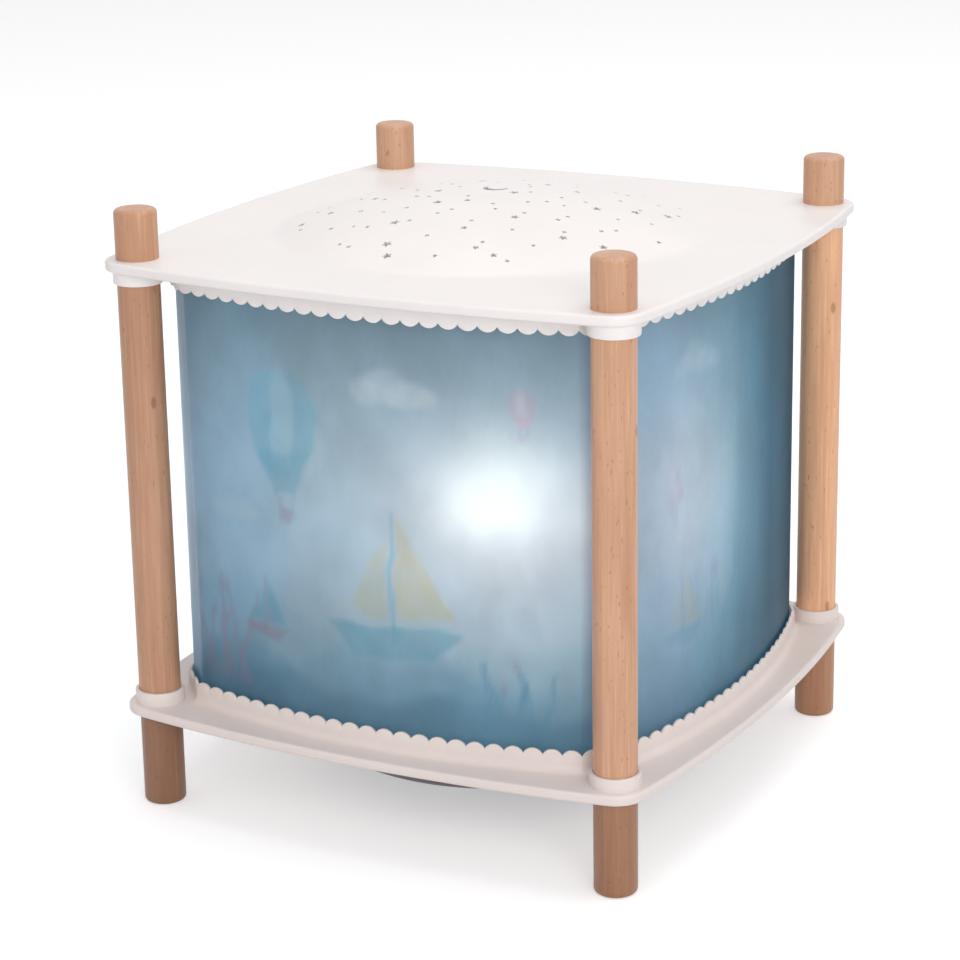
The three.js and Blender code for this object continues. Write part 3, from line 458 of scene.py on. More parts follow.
white_look = plastic("white_plastic", (0.88, 0.835, 0.82), 0.42)
# Painted shade: a greyer white for the walls of the star holes, where shade falls
star_wall_shade_look = plastic("star_wall_painted_shade", (0.70, 0.68, 0.67), 0.6)
# Painted shade: a darker, warmer copy of the white plastic for the lower plate and its ring, which
# lie in shade under the lamp's body
painted_shade_white_look = plastic("painted_shade_white_plastic", (0.79, 0.70, 0.665), 0.42)
clear_look = plastic("pale_plastic", (0.80, 0.80, 0.80), 0.3)
bearing_look = plastic("bearing_plastic", (0.78, 0.73, 0.58), 0.38, 0.06)
grey_look = plastic("grey_plastic", (0.16, 0.12, 0.14), 0.5, 0.1)
black_look = plastic("black_plastic", (0.03, 0.03, 0.033), 0.45, 0.2)
board_look = plastic("board_green", (0.035, 0.16, 0.075), 0.35, 0.25, 0.5)
wrap_look = plastic("battery_wrap", (0.09, 0.24, 0.50), 0.3, 0.12, 0.4)
steel_look = metal("zinc_steel", (0.66, 0.67, 0.69), 0.3)
shade_look = film("shade_film", 1.0, 0.48, 0.85, 1.0, 0.41, (1.28, 0.92, 0.80))
drum_look = film("drum_film", 0.4, 0.5, 0.0, 0.12, 0.35, (1.1, 1.0, 0.9))
globe_look = glowing("frosted_globe", (0.95, 0.93, 0.9), (1.0, 0.80, 0.64), 7.3, 0.5)
led_look = glowing("led_phosphor", (0.85, 0.75, 0.35), (1.0, 0.9, 0.62), 8.0, 0.35)


# Wooden posts

def add_posts():
    inner = post_radius - post_end_round
    chamfered = post_radius - post_joint_chamfer
    foot = [(0, 0), (inner / 2, 0), *arc((inner, post_end_round), post_end_round, -90, 0, 6),
            (post_radius, foot_top_z), (0, foot_top_z)]
    pillar = [(0, lower_deck_z), (chamfered, lower_deck_z),
              (post_radius, lower_deck_z + post_joint_chamfer),
              (post_radius, upper_plate_z - post_joint_chamfer),
              (chamfered, upper_plate_z), (0, upper_plate_z)]
    finial = [(0, upper_deck_z), (post_radius, upper_deck_z),
              *arc((inner, finial_top_z - post_end_round), post_end_round, 0, 90, 6),
              (inner / 2, finial_top_z), (0, finial_top_z)]
    for corner, centre in posts.items():
        for kind, profile, look in (("foot", foot, painted_shade_foot_looks[corner]),
                                    ("pillar", pillar, pillar_looks_with_painted_light[corner]),
                                    ("finial", finial, finial_look)):
            node = f"{kind}_{corner}"
            dress(lathe(f"wood_{node}", profile, centre=centre), look, node)


# Plates

def plate_outline(inset):
    """Four swollen sides that run smoothly into round corners about the posts."""
    side_steps, corner_steps = 44, 10
    swell = plate_half_width - half_spacing
    side_radius = (swell ** 2 + half_spacing ** 2 - plate_margin ** 2) / 2 / (swell - plate_margin)
    middle_reach = side_radius - plate_half_width
    lean = math.atan2(half_spacing, half_spacing + middle_reach)
    points = []
    for quarter in range(4):
        turn = quarter * math.pi / 2
        for i in range(side_steps):
            x, y = turned((side_radius - inset, 0), -lean + 2 * lean * i / side_steps)
            points.append(turned((x - middle_reach, y), turn))
        for i in range(corner_steps):
            angle = lean + (math.pi / 2 - 2 * lean) * i / corner_steps
            x, y = turned((plate_margin - inset, 0), angle)
            points.append(turned((half_spacing + x, half_spacing + y), turn))
    return points


def plate_rings(low, high):
    """Rings of points round a plate's edge, from its lower face to its upper face."""
    r = plate_edge_round
    return [[(x, y, z) for x, y in plate_outline(r - across)]
            for across, z in arc((0, low + r), r, -90, 0, 5) + arc((0, high - r), r, 0, 90, 5)]


def plate_mesh(name, low, high, above, below):
    """A plate whose upper face runs in to its middle along the profile above, and whose lower face
    runs out from its middle along the profile below."""
    edge = plate_rings(low, high)
    angles = [math.atan2(y, x) for x, y, _ in edge[0]]
    circle = lambda r, z: [(r * math.cos(a), r * math.sin(a), z) for a in angles]
    rings = [circle(r, z) for r, z in below[1:]] + edge + [circle(r, z) for r, z in above[:-1]]
    points = [p for ring in rings for p in ring]
    faces = ring_faces(len(rings), len(angles))
    poles = [(0, 0, below[0][1]), (0, 0, above[-1][1])]
    cap_ends(points, faces, len(rings), len(angles), poles)
    return add_piece(name, points, faces)


def collars(low, high):
    bore = post_radius + collar_play
    inner = bore + collar_wall - collar_round
    section = [(bore, low), *arc((inner, low + collar_round), collar_round, -90, 0, 3),
               *arc((inner, high - collar_round), collar_round, 0, 90, 3), (bore, high)]
    return [lathe_shape(section, centre=centre) for centre in posts.values()]


dome_height = dome_top_z - upper_deck_z
dome_sphere = (dome_radius ** 2 + dome_height ** 2) / (2 * dome_height)
dome_centre_z = dome_top_z - dome_sphere
cove_z = upper_deck_z + dome_blend_radius
cove_r = math.sqrt((dome_sphere + dome_blend_radius) ** 2 - (cove_z - dome_centre_z) ** 2)
dome_meet = math.atan2(cove_r, cove_z - dome_centre_z)
dome_inner = dome_sphere - dome_wall


def dome_profile():
    cove = [(cove_r - dome_blend_radius * math.sin(a), cove_z - dome_blend_radius * math.cos(a))
            for a in np.linspace(0, dome_meet, 7)]
    cap = [(dome_sphere * math.sin(a), dome_centre_z + dome_sphere * math.cos(a))
           for a in np.linspace(dome_meet, 0, 22)]
    return cove + cap[1:]


def cavity_profile():
    edge = math.acos((upper_plate_z - dome_centre_z) / dome_inner)
    return [(dome_inner * math.sin(a), dome_centre_z + dome_inner * math.cos(a))
            for a in np.linspace(0, edge, 14)]


def star(x, y, radius, tips, turn):
    shares = [1, star_waist_share] * tips
    return [(x + px * share, y + py * share)
            for share, (px, py) in zip(shares, on_circle(2 * tips, radius, turn))]


def pattern_shapes():
    """Prisms for the star holes and the two crescents."""
    low, high = upper_plate_z - 1, dome_top_z + 1
    pitch = star_field_radius / math.sqrt(star_count)
    drift = star_drift_share * pitch
    moons = [(x * star_field_radius, y * star_field_radius) for x, y in moon_place_shares]
    shapes = [prism([(x + mx, y + my) for x, y in crescent()], low, high) for mx, my in moons]
    clear = lambda *place: all(math.dist(place, moon) > moon_radius + star_radius for moon in moons)
    places = []
    for i in range(star_count):
        x, y = turned((pitch * math.sqrt(i + 0.5), 0), i * golden_angle)
        x += drift * math.sin(i * i + 1)
        y += drift * math.cos(i * i * 2 + 1)
        share = star_size_shares[i % len(star_size_shares)]
        if clear(x, y):
            tips = 4 if share < small_star_share else 5
            shapes.append(prism(star(x, y, star_radius * share, tips, i), low, high))
            places.append((x, y))
    for i in range(tiny_star_count):
        radius = star_field_radius * math.sqrt((i + 0.5) / tiny_star_count)
        x, y = turned((radius, 0), i * golden_angle + tiny_star_turn)
        if clear(x, y) and all(math.dist((x, y), place) > tiny_star_gap for place in places):
            shapes.append(prism(star(x, y, tiny_star_radius, 4, i), low, high))
    return shapes


def crescent():
    bite = moon_radius * moon_bite_share
    offset = moon_radius * moon_bite_offset_share
    along = (moon_radius ** 2 - bite ** 2 + offset ** 2) / (2 * offset)
    tip = math.sqrt(moon_radius ** 2 - along ** 2)
    start, inner = math.atan2(tip, along), math.atan2(tip, along - offset)
    outer = [(moon_radius * math.cos(a), moon_radius * math.sin(a))
             for a in np.linspace(start, 2 * math.pi - start, 25)]
    bitten = [(offset + bite * math.cos(a), bite * math.sin(a))
              for a in np.linspace(2 * math.pi - inner, inner, 15)[1:-1]]
    return [turned(p, math.pi / 2) for p in outer + bitten]


def true_normal(p, face_z):
    """The normal of the plate's smooth surface at a point of a face, or None beside it."""
    r = math.hypot(p.x, p.y)
    if r < cove_r + 0.01 and abs(face_z) > 0.5:
        if face_z < 0:
            in_cavity = p.z > upper_plate_z + 0.01
            return Vector((-p.x, -p.y, dome_centre_z - p.z)) if in_cavity else None
        if r < dome_sphere * math.sin(dome_meet):
            return Vector((p.x, p.y, p.z - dome_centre_z))
        return Vector((p.x / r * (cove_r - r), p.y / r * (cove_r - r), cove_z - p.z))
    on_deck = face_z > 0.999 and p.z > upper_deck_z - 0.01
    return Vector((0, 0, 1)) if on_deck else None


def smooth_dome(piece):
    """Gives the plate its smooth surfaces' normals, which the star holes would disturb."""
    mesh = piece.data
    corner_normals = mesh.corner_normals
    normals = []
    for face in mesh.polygons:
        for loop in face.loop_indices:
            p = mesh.vertices[mesh.loops[loop].vertex_index].co / MM
            true = true_normal(p, face.normal.z)
            if true is not None and true.normalized().dot(face.normal) > 0.97:
                normals.append(true.normalized())
            else:
                normals.append(Vector(corner_normals[loop].vector))
    mesh.normals_split_custom_set(normals)


def paint_star_wall_shade(piece):
    """Paints the upright walls of the star holes a greyer colour, as painted shade in the holes."""
    piece.data.materials.append(star_wall_shade_look)
    for face in piece.data.polygons:
        x, y, z = face.center / MM
        in_dome = math.hypot(x, y) < dome_radius and z > upper_plate_z + 0.1
        if in_dome and abs(face.normal.z) < 0.3:
            face.material_index = 1


def add_plates():
    upper = plate_mesh("plate_upper", upper_plate_z, upper_deck_z, dome_profile(), cavity_profile())
    overlap = plate_thickness / 2
    combine(upper, collars(upper_plate_z - collar_height, upper_plate_z + overlap), "UNION")
    combine(upper, pattern_shapes(), "DIFFERENCE")
    smooth_dome(upper)
    dress(upper, white_look, "upper_plate")
    paint_star_wall_shade(upper)
    above = [(plate_middle_radius, lower_deck_z), (0, lower_deck_z)]
    below = [(0, foot_top_z), (plate_middle_radius, foot_top_z)]
    lower = plate_mesh("plate_lower", foot_top_z, lower_deck_z, above, below)
    combine(lower, collars(lower_deck_z - overlap, lower_deck_z + collar_height), "UNION")
    shaft_y = middle("motor_shaft")[0].y
    bores = [on_circle(48, column_bore_radius),
             [(x, y + shaft_y) for x, y in on_circle(32, shaft_bore_radius)]]
    combine(lower, [prism(bore, foot_top_z - 1, lower_deck_z + 1) for bore in bores], "DIFFERENCE")
    dress(lower, painted_shade_white_look, "lower_plate")


# Shade and its scalloped rings

collar_radius = post_radius + collar_play + collar_wall
corner_distance = half_spacing * math.sqrt(2) - collar_radius - ring_corner_gap
corner_far = (corner_distance + ring_corner_length / 2) / math.sqrt(2)
corner_near = (corner_distance - ring_corner_length / 2) / math.sqrt(2)
ring_swell = ring_half_width - corner_far
ring_bow_radius = (corner_near ** 2 + ring_swell ** 2) / (2 * ring_swell)


def swollen_square(inset, side_steps, corner_steps):
    """Four swollen sides whose corners are cut off straight, from the start of the +X side. Gives
    the points and, for each, its quarter, how far along that side and its corner it lies from the
    side's middle, and which way it faces."""
    bow = ring_bow_radius - inset
    centre = ring_bow_radius - ring_half_width
    reach = (corner_distance - inset) * math.sqrt(2) + centre
    corner_y = (reach - math.sqrt(2 * bow ** 2 - reach ** 2)) / 2
    lean = math.asin(corner_y / bow)
    points, places = [], []
    for quarter in range(4):
        turn = quarter * math.pi / 2
        for i in range(side_steps):
            angle = -lean + 2 * lean * i / side_steps
            x, y = turned((bow, 0), angle)
            points.append(turned((x - centre, y), turn))
            places.append((quarter, bow * angle, turn + angle))
        x, y = turned((bow, 0), lean)
        start = turned((x - centre, y), turn)
        end = turned((x - centre, -y), turn + math.pi / 2)
        for i in range(corner_steps):
            share = i / corner_steps
            points.append(tuple(s + (e - s) * share for s, e in zip(start, end)))
            along = bow * lean + math.dist(start, end) * share
            places.append((quarter, along, turn + math.pi / 4))
    return points, places


def scalloped_ring(name, base_z, direction, look, node):
    """A band from base_z up or down, with a cove at its root and thin rounded scallops."""
    steps = 12
    per_side = round(2 * corner_near / scallop_pitch)
    per_corner = max(1, round(ring_corner_length / scallop_pitch))
    radius = ((scallop_pitch / 2) ** 2 + scallop_depth ** 2) / (2 * scallop_depth)
    cove = [(math.sin(t) * ring_cove - ring_cove, ring_cove - math.cos(t) * ring_cove, False)
            for t in np.linspace(0, math.pi / 2, 6)]
    edge = [(ring_edge_round * (1 - math.cos(t)), ring_edge_round * (math.sin(t) - 1), True)
            for t in np.linspace(0, math.pi / 2, 4)]
    back = [(ring_tip_wall - inset, fall, True) for inset, fall, _ in reversed(edge)]
    section = cove + edge + back + [(ring_wall, ring_cove, False), (ring_wall, 0, False)]
    points = []
    for inset, height, at_tip in section:
        path, _ = swollen_square(inset, per_side * steps, per_corner * steps)
        for i, (x, y) in enumerate(path):
            across = scallop_pitch * ((i % steps) / steps - 0.5)
            tip = ring_height + math.sqrt(radius ** 2 - across ** 2) - radius
            points.append((x, y, base_z + direction * (height + at_tip * tip)))
    faces = ring_faces(len(section), len(path), closed=True)
    if direction < 0:
        faces = [tuple(reversed(face)) for face in faces]
    dress(add_piece(name, points, faces, 26), look, node)


# Printed films, painted in a side's own coordinates: a across it from its middle, and z up

TEAL, OCHRE, MAUVE = (0.27, 0.58, 0.70), (0.70, 0.68, 0.47), (0.54, 0.44, 0.55)
DEEP, PALE = (0.20, 0.44, 0.60), (0.86, 0.95, 1.0)


def ramp(value, start, end):
    return np.clip((value - start) / (end - start), 0, 1)


def inside(distance, soft):
    """1 well inside an outline and 0 well outside, by the distance out from it."""
    t = np.clip(0.5 - distance / soft, 0, 1)
    return t * t * (3 - 2 * t)


def placed(a, z, size, *points):
    return [(a + da * size, z + dz * size) for da, dz in points]


class Print:
    """Ink on a film, whose coordinates waver so that no outline is quite even."""

    def __init__(self, a, z, ground):
        self.a = a + 0.6 * np.sin(z / 4.1 + 1.3 * np.sin(a / 9)) + 0.3 * np.sin(z / 1.9 + a / 3.3)
        self.z = z + 0.5 * np.sin(a / 4.7 + 1.1 * np.sin(z / 8)) + 0.3 * np.sin(a / 2.1 - z / 3.7)
        self.ink = np.tile(np.array(ground, float), (len(a), 1))

    def wash(self, mask, colour, cover):
        share = (mask * cover)[:, None]
        self.ink = self.ink * (1 - share) + np.array(colour) * share

    def paint(self, mask, colour, cover):
        """Lays ink on thinner in blotches, as wet colour dries."""
        a, z = self.a, self.z
        patch = np.sin(a / 3.1 + 2 * np.sin(z / 5.3)) * np.sin(z / 2.7 + a / 6.1)
        self.wash(mask * (0.86 + 0.14 * patch), colour, cover)

    def oval(self, a, z, across, up, colour, cover, soft=2.0):
        distance = (np.hypot((self.a - a) / across, (self.z - z) / up) - 1) * min(across, up)
        self.paint(inside(distance, soft), colour, cover)

    def facet(self, corners, colour, cover):
        """A convex outline whose corners run anticlockwise."""
        distance = np.full_like(self.a, -1e9)
        for (a0, z0), (a1, z1) in zip(corners, corners[1:] + corners[:1]):
            out = (self.a - a0) * (z1 - z0) - (self.z - z0) * (a1 - a0)
            distance = np.maximum(distance, out / math.hypot(a1 - a0, z1 - z0))
        self.paint(inside(distance, 1.9), colour, cover)

    def stroke(self, start, end, width, colour, cover):
        """A stroke that thins towards its end."""
        a, z = self.a - start[0], self.z - start[1]
        da, dz = end[0] - start[0], end[1] - start[1]
        t = np.clip((a * da + z * dz) / (da * da + dz * dz), 0, 1)
        distance = np.hypot(a - t * da, z - t * dz) - width / 2 * (1 - 0.6 * t)
        self.paint(inside(distance, 1.6), colour, cover)

    def cloud(self, a, z, size, cover=0.5):
        puffs = (-0.9, 0, 0.55), (-0.25, 0.28, 0.75), (0.5, 0.1, 0.62), (1.1, -0.05, 0.4)
        for da, dz, r in puffs:
            self.oval(a + da * size, z + dz * size, r * size, r * size * 0.7, PALE, cover, 3)

    def balloon(self, a, z, size, colour):
        self.oval(a, z, size * 0.8, size, colour, 0.75)
        self.oval(a, z, size * 0.28, size, PALE, 0.3)
        throat = placed(a, z, size, (-0.62, -0.55), (-0.2, -1.3), (0.2, -1.3), (0.62, -0.55))
        self.facet(throat, colour, 0.7)
        for side in (-1, 1):
            rope = placed(a, z, size, (side * 0.2, -1.3), (side * 0.14, -1.62))
            self.stroke(*rope, 0.7, DEEP, 0.6)
        basket = placed(a, z, size, (-0.17, -1.62), (-0.13, -1.9), (0.13, -1.9), (0.17, -1.62))
        self.facet(basket, MAUVE, 0.8)

    def boat(self, a, z, size, colour, sail):
        hull = placed(a, z, size, (-1, 0), (-0.62, -0.42), (0.6, -0.42), (1.05, 0.08))
        self.facet(hull, colour, 0.85)
        self.stroke(*placed(a, z, size, (0, -0.2), (0, 1.75)), 1.6, colour, 0.8)
        self.facet(placed(a, z, size, (0.07, 0.15), (0.95, 0.22), (0.07, 1.65)), sail, 0.8)
        self.facet(placed(a, z, size, (-0.72, 0.2), (-0.08, 0.15), (-0.08, 1.3)), sail, 0.65)

    def reeds(self, a, z, count, height, colour):
        for i in range(count):
            lean = math.sin(i * 2.4) * 0.28
            tall = height * (0.6 + 0.4 * abs(math.cos(i * 1.7)))
            foot = (a + (i - count / 2) * 2.6, z)
            head = (foot[0] + lean * tall, z + tall)
            self.stroke(foot, head, 1.9, colour, 0.7)
            if i % 3 == 1:
                self.oval(*head, 1.1, 3.0, MAUVE, 0.5)

    def bush(self, a, z, width, height, colour, cover=0.3):
        """Overlapping blots of colour, tallest in the middle."""
        for i in range(7):
            across = (i - 3) / 3
            tall = height * (1 - 0.5 * across ** 2) * (0.8 + 0.2 * math.sin(i * 2.9 + a))
            self.oval(a + across * width, z + tall * 0.4, width * 0.3, tall * 0.6, colour, cover, 5)

    def hills(self, level, height, length, phase, colour, cover, soft):
        wave = np.sin(self.a / length + phase) + 0.4 * np.sin(self.a / length * 2.7 + phase * 3)
        self.wash(inside(self.z - level - height * wave, soft), colour, cover)


def shade_print(quarter, a, z):
    """The printed scene of one side, washed darker towards its edges as painted shade: -Y is side 3
    and +X side 0.
    """
    page = Print(a, z, (0.63, 0.78, 0.88))
    # Painted shade: the ink is washed darker towards the top and towards each side's left end,
    # where less of the bulb's light reaches
    page.wash(ramp(z, 102, 152), (0.26, 0.37, 0.44), 0.94)
    page.wash(ramp(a, -8, -68), (0.34, 0.46, 0.54), 0.22)
    page.hills(66, 5, 24, quarter * 1.3, (0.42, 0.66, 0.78), 0.5, 10)
    page.hills(55, 3.5, 15, quarter * 2.1 + 1, (0.29, 0.53, 0.67), 0.6, 8)
    page.hills(46, 2.2, 9, quarter + 2, (0.17, 0.34, 0.45), 0.65, 6)
    if quarter == 3:
        page.balloon(-26, 120, 15, TEAL)
        page.balloon(46, 132, 5, MAUVE)
        page.cloud(10, 132, 9, 0.35)
        page.boat(8, 66, 20, TEAL, OCHRE)
        page.cloud(-44, 92, 6, 0.3)
        page.bush(-42, 42, 14, 20, DEEP)
        page.bush(34, 38, 17, 18, DEEP)
        page.reeds(-50, 42, 8, 30, MAUVE)
        page.reeds(44, 40, 7, 20, DEEP)
        page.boat(-34, 60, 8, MAUVE, TEAL)
    elif quarter == 0:
        page.balloon(18, 126, 15, TEAL)
        page.cloud(-26, 136, 8, 0.35)
        page.balloon(-38, 104, 6, MAUVE)
        page.bush(-26, 42, 11, 30, DEEP, 0.35)
        page.bush(2, 44, 14, 40, DEEP, 0.4)
        page.reeds(-14, 44, 10, 34, TEAL)
        page.boat(-34, 62, 10, DEEP, OCHRE)
        # Painted shade over the print: this side is washed darker along its length, most at its far
        # end
        page.wash(ramp(a, -4, -44), (0.31, 0.45, 0.57), 0.85)
        page.wash(ramp(a, -34, 0), (0.13, 0.30, 0.38), 0.72)
        page.wash(ramp(a, -6, 26), (0.01, 0.13, 0.21), 1.0)
    elif quarter == 1:
        page.balloon(-20, 112, 13, TEAL)
        page.cloud(26, 128, 10)
        page.boat(18, 66, 14, MAUVE, PALE)
        page.bush(-38, 42, 14, 22, DEEP)
        page.bush(44, 40, 12, 16, TEAL)
        page.reeds(-44, 42, 7, 24, DEEP)
    else:
        page.cloud(-18, 132, 11)
        page.balloon(30, 122, 10, OCHRE)
        page.bush(38, 42, 15, 22, DEEP)
        page.bush(-50, 40, 10, 16, DEEP)
        page.reeds(40, 42, 8, 28, TEAL)
        page.boat(-22, 66, 13, DEEP, PALE)
    # Painted shade: darker ink on the cut corners and towards the bottom
    page.wash(ramp(a, corner_near, corner_near + 3), (0.20, 0.26, 0.35), 0.6)
    page.wash(ramp(z, 50, 31), (0.12, 0.26, 0.37), 0.8)
    return page.ink


def bulb_light(points, outward, centre, reach):
    """How brightly a light at the centre lights a film, as a share of its light at reach."""
    ray = points - centre
    far = np.linalg.norm(ray, axis=1)
    return np.clip((ray * outward).sum(axis=1) / far, 0, 1) * reach ** 2 / far ** 2


def store(piece, ink, glow):
    """Keeps the print and the glow in the mesh, where the film's material reads them."""
    mesh = piece.data
    rgba = np.hstack([ink, np.ones((len(ink), 1))]).astype(np.float32)
    ink_layer = mesh.color_attributes.new("print", "FLOAT_COLOR", "POINT")
    ink_layer.data.foreach_set("color", rgba.ravel())
    glow_layer = mesh.attributes.new("glow", "FLOAT", "POINT")
    glow_layer.data.foreach_set("value", glow.astype(np.float32))


def add_shade():
    scalloped_ring("ring_upper", upper_plate_z, -1, white_look, "upper_scallop_ring")
    scalloped_ring("ring_lower", lower_deck_z, 1, painted_shade_white_look, "lower_scallop_ring")
    rows, side_steps, corner_steps = 112, 116, 14
    inset = ring_half_width - shade_half_width
    outer, places = swollen_square(inset, side_steps, corner_steps)
    inner, _ = swollen_square(inset + shade_wall, side_steps, corner_steps)
    heights = np.linspace(lower_deck_z, upper_plate_z, rows)
    points = [(x, y, z) for z in heights for x, y in outer]
    points += [(x, y, z) for z in heights[[-1, 0]] for x, y in inner]
    piece = add_piece("film_shade", points, ring_faces(rows + 2, len(outer), closed=True), 20)
    points = np.array(points)
    quarter, a, facing = (np.tile(values, rows + 2) for values in zip(*places))
    ink = np.zeros((len(points), 3))
    for side in range(4):
        mine = quarter == side
        ink[mine] = shade_print(side, a[mine], points[mine, 2])
    outward = np.stack([np.cos(facing), np.sin(facing), 0 * facing], axis=1)
    # The glow lies towards the two sides that meet at the near right post, or away from it
    towards = np.where((quarter == 0) | (quarter == 3), 1, -1)
    faces_y = quarter % 2 == 1
    centre = np.stack([towards * np.where(faces_y, glow_slide, glow_shift),
                       -towards * np.where(faces_y, glow_shift, glow_slide),
                       np.full(len(points), glow_z)], axis=1)
    store(piece, ink, bulb_light(points, outward, centre, shade_half_width - glow_shift))
    dress(piece, shade_look, "shade_film")


def add_drum():
    rows, segments = 80, 288
    angles = np.arange(segments) * 2 * math.pi / segments
    heights = np.linspace(film_low_z, film_high_z, rows)
    section = [(drum_radius, z) for z in heights]
    section += [(drum_radius - drum_film_wall, z) for z in heights[::-1]]
    points = np.array([(r * math.cos(t), r * math.sin(t), z) for r, z in section for t in angles])
    faces = ring_faces(len(section), segments, closed=True)
    piece = add_piece("film_drum", points, faces, 40)
    turn = np.tile(angles, len(section))
    ink = np.zeros((len(points), 3))
    panel = 2 * math.pi / drum_panels
    part = np.floor(turn / panel).astype(int)
    a = (turn - (part + 0.5) * panel) * drum_radius
    for k in range(drum_panels):
        mine = part == k
        page = Print(a[mine], points[mine, 2], (0.86, 0.90, 0.93))
        if k % 2:
            page.boat(0, 78, 12, MAUVE, TEAL)
        else:
            page.cloud(-8, 118, 9)
            page.boat(12, 74, 9, DEEP, OCHRE)
        ink[mine] = page.ink
    outward = np.stack([np.cos(turn), np.sin(turn), 0 * turn], axis=1)
    store(piece, ink, bulb_light(points, outward, (0, 0, glow_z), drum_radius))
    dress(piece, drum_look, "drum_film", "drum")


def add_bulb():
    centre_z = bulb_top_z - bulb_radius

    def shell(radius, neck):
        start = math.degrees(math.acos(neck / radius))
        ball = arc((0, centre_z), radius, -start, 90, 20)
        return [(neck, bulb_low_z), *ball[:-1], (0, centre_z + radius)]

    outer = shell(bulb_radius, bulb_neck_radius)
    inner = shell(bulb_radius - bulb_wall, bulb_neck_radius - bulb_wall)
    piece = lathe("globe", inner[::-1] + outer)
    dress(piece, globe_look, "bulb_globe")


# Base housing and what is seen in it from outside

def along_x(shape, y, z):
    """A shape drawn about Z, laid along X with its Z end towards +X and its middle at (y, z)."""
    points, faces = shape
    return [(pz, y + py, z - px) for px, py, pz in points], faces


def stadium(width, height):
    """A slot's outline with round ends: its width lies along the second axis."""
    steps = 12
    radius = height / 2
    reach = width / 2 - radius
    return [(radius * math.cos(a), side * reach + radius * math.sin(a))
            for side, start in ((1, 0), (-1, math.pi))
            for a in np.linspace(start, start + math.pi, steps)]


def base_curve(inset):
    """The housing's wall from the knee at its floor to its upright side, and the floor's radius."""
    steps = 10
    knee_radius = base_radius - base_side_run
    slope = Vector((knee_radius - base_mouth_radius, base_knee_height))
    inward = Vector((-slope.y, slope.x)).normalized() * inset
    knee = Vector((knee_radius, base_low_z + base_knee_height)) + inward
    side = Vector((base_radius - inset, base_low_z + base_side_height))
    bend = Vector((side.x, knee.y + slope.y * (side.x - knee.x) / slope.x))
    points = [tuple(knee * (1 - t) ** 2 + bend * 2 * t * (1 - t) + side * t * t)
              for t in np.linspace(0, 1, steps)]
    mouth = Vector((base_mouth_radius, base_low_z)) + inward
    floor_radius = mouth.x + slope.x * (ledge_z - mouth.y) / slope.y
    return floor_radius, points


def holes_at(nodes, low, high, radius):
    places = [middle(node)[0] for node in nodes]
    return [prism([(p.x + x, p.y + y) for x, y in on_circle(32, radius)], low, high)
            for p in places]


base_screws = [f"base_screw_{i}" for i in (1, 2, 3)]
cover_screws = [f"cover_screw_{i}" for i in (1, 2, 3)]
cover_radius = base_mouth_radius - cover_lip
screw_hole = screw_radius + screw_play
head_hole = screw_head_radius + screw_play
button_radius = middle("power_button")[1].y / 2 - button_flange_width
under_base = base_low_z - 1


def add_housing():
    _, outer = base_curve(0)
    floor_radius, inner = base_curve(base_wall)
    seat_radius = cover_radius + cover_play
    ledge_radius = cover_radius - ledge_width
    profile = [(ledge_radius, ledge_z), (ledge_radius, cover_seat_z), (seat_radius, cover_seat_z),
               (seat_radius, base_low_z + base_mouth_round),
               (seat_radius + base_mouth_round, base_low_z), (base_mouth_radius, base_low_z),
               *outer, (base_radius, foot_top_z), (base_radius - base_wall, foot_top_z),
               *reversed(inner), (floor_radius, ledge_z)]
    piece = lathe("housing", profile, 128)
    combine(piece, holes_at(base_screws, ledge_z, foot_top_z, boss_radius), "UNION")
    port, port_size = middle("charging_socket")
    button = middle("power_button")[0]
    through = (-base_radius - 1, -base_radius + 2 * base_wall)
    port_hole = stadium(port_size.y + 2 * port_play, port_size.z + 2 * port_play)
    button_hole = on_circle(48, button_radius + button_play)
    head_top = box(base_screws[0])[0].z + screw_head_height
    cuts = [along_x(prism(port_hole, *through), port.y, port.z),
            along_x(prism(button_hole, *through), button.y, button.z),
            *holes_at(cover_screws, under_base, ledge_z + 1, screw_hole),
            *holes_at(base_screws, under_base, foot_top_z + 1, screw_hole),
            *holes_at(base_screws, under_base, head_top, head_hole)]
    combine(piece, cuts, "DIFFERENCE")
    dress(piece, grey_look, "base_housing")


def add_cover():
    profile = [(0, base_low_z), (cover_radius - base_mouth_round, base_low_z),
               (cover_radius, base_low_z + base_mouth_round), (cover_radius, cover_seat_z),
               (0, cover_seat_z)]
    piece = lathe("cover", profile, 128)
    head_top = box(cover_screws[0])[0].z + screw_head_height
    cuts = [*holes_at(cover_screws, under_base, ledge_z, screw_hole),
            *holes_at(cover_screws, under_base, head_top, head_hole)]
    combine(piece, cuts, "DIFFERENCE")
    dress(piece, grey_look, "base_cover")


def add_screw(node):
    """A round-headed screw driven in from below, with a crossed recess in its head."""
    low, high = box(node)
    x, y = middle(node)[0].xy
    head, r, rounded = screw_head_radius, screw_radius, screw_head_round
    seat = low.z + screw_head_height
    profile = [(0, low.z), (head - rounded, low.z), (head - rounded / 3, low.z + rounded / 3),
               (head, low.z + rounded), (head, seat), (r, seat), (r, high.z - r / 2),
               (r / 2, high.z), (0, high.z)]
    piece = lathe(f"steel_{node}", profile, 32, (x, y))
    slots = [prism(rectangle(*halves, x, y), low.z - 1, low.z + screw_slot_depth)
             for halves in ((screw_slot_reach, screw_slot_half_width),
                            (screw_slot_half_width, screw_slot_reach))]
    combine(piece, slots, "DIFFERENCE")
    dress(piece, steel_look, node)


def add_button():
    centre, size = middle("power_button")
    low, high = centre.x - size.x / 2, centre.x + size.x / 2
    flange_x = low + button_flange_reach
    back_x = flange_x + button_flange_thickness
    flange = size.y / 2
    inner = button_radius - button_round
    profile = [(0, low), *arc((inner, low + button_round), button_round, -90, 0, 6),
               (button_radius, flange_x), (flange, flange_x), (flange, back_x),
               (button_stem_radius, back_x), (button_stem_radius, high), (0, high)]
    piece = add_piece("button", *along_x(lathe_shape(profile), centre.y, centre.z))
    dress(piece, white_look, "power_button", "button")


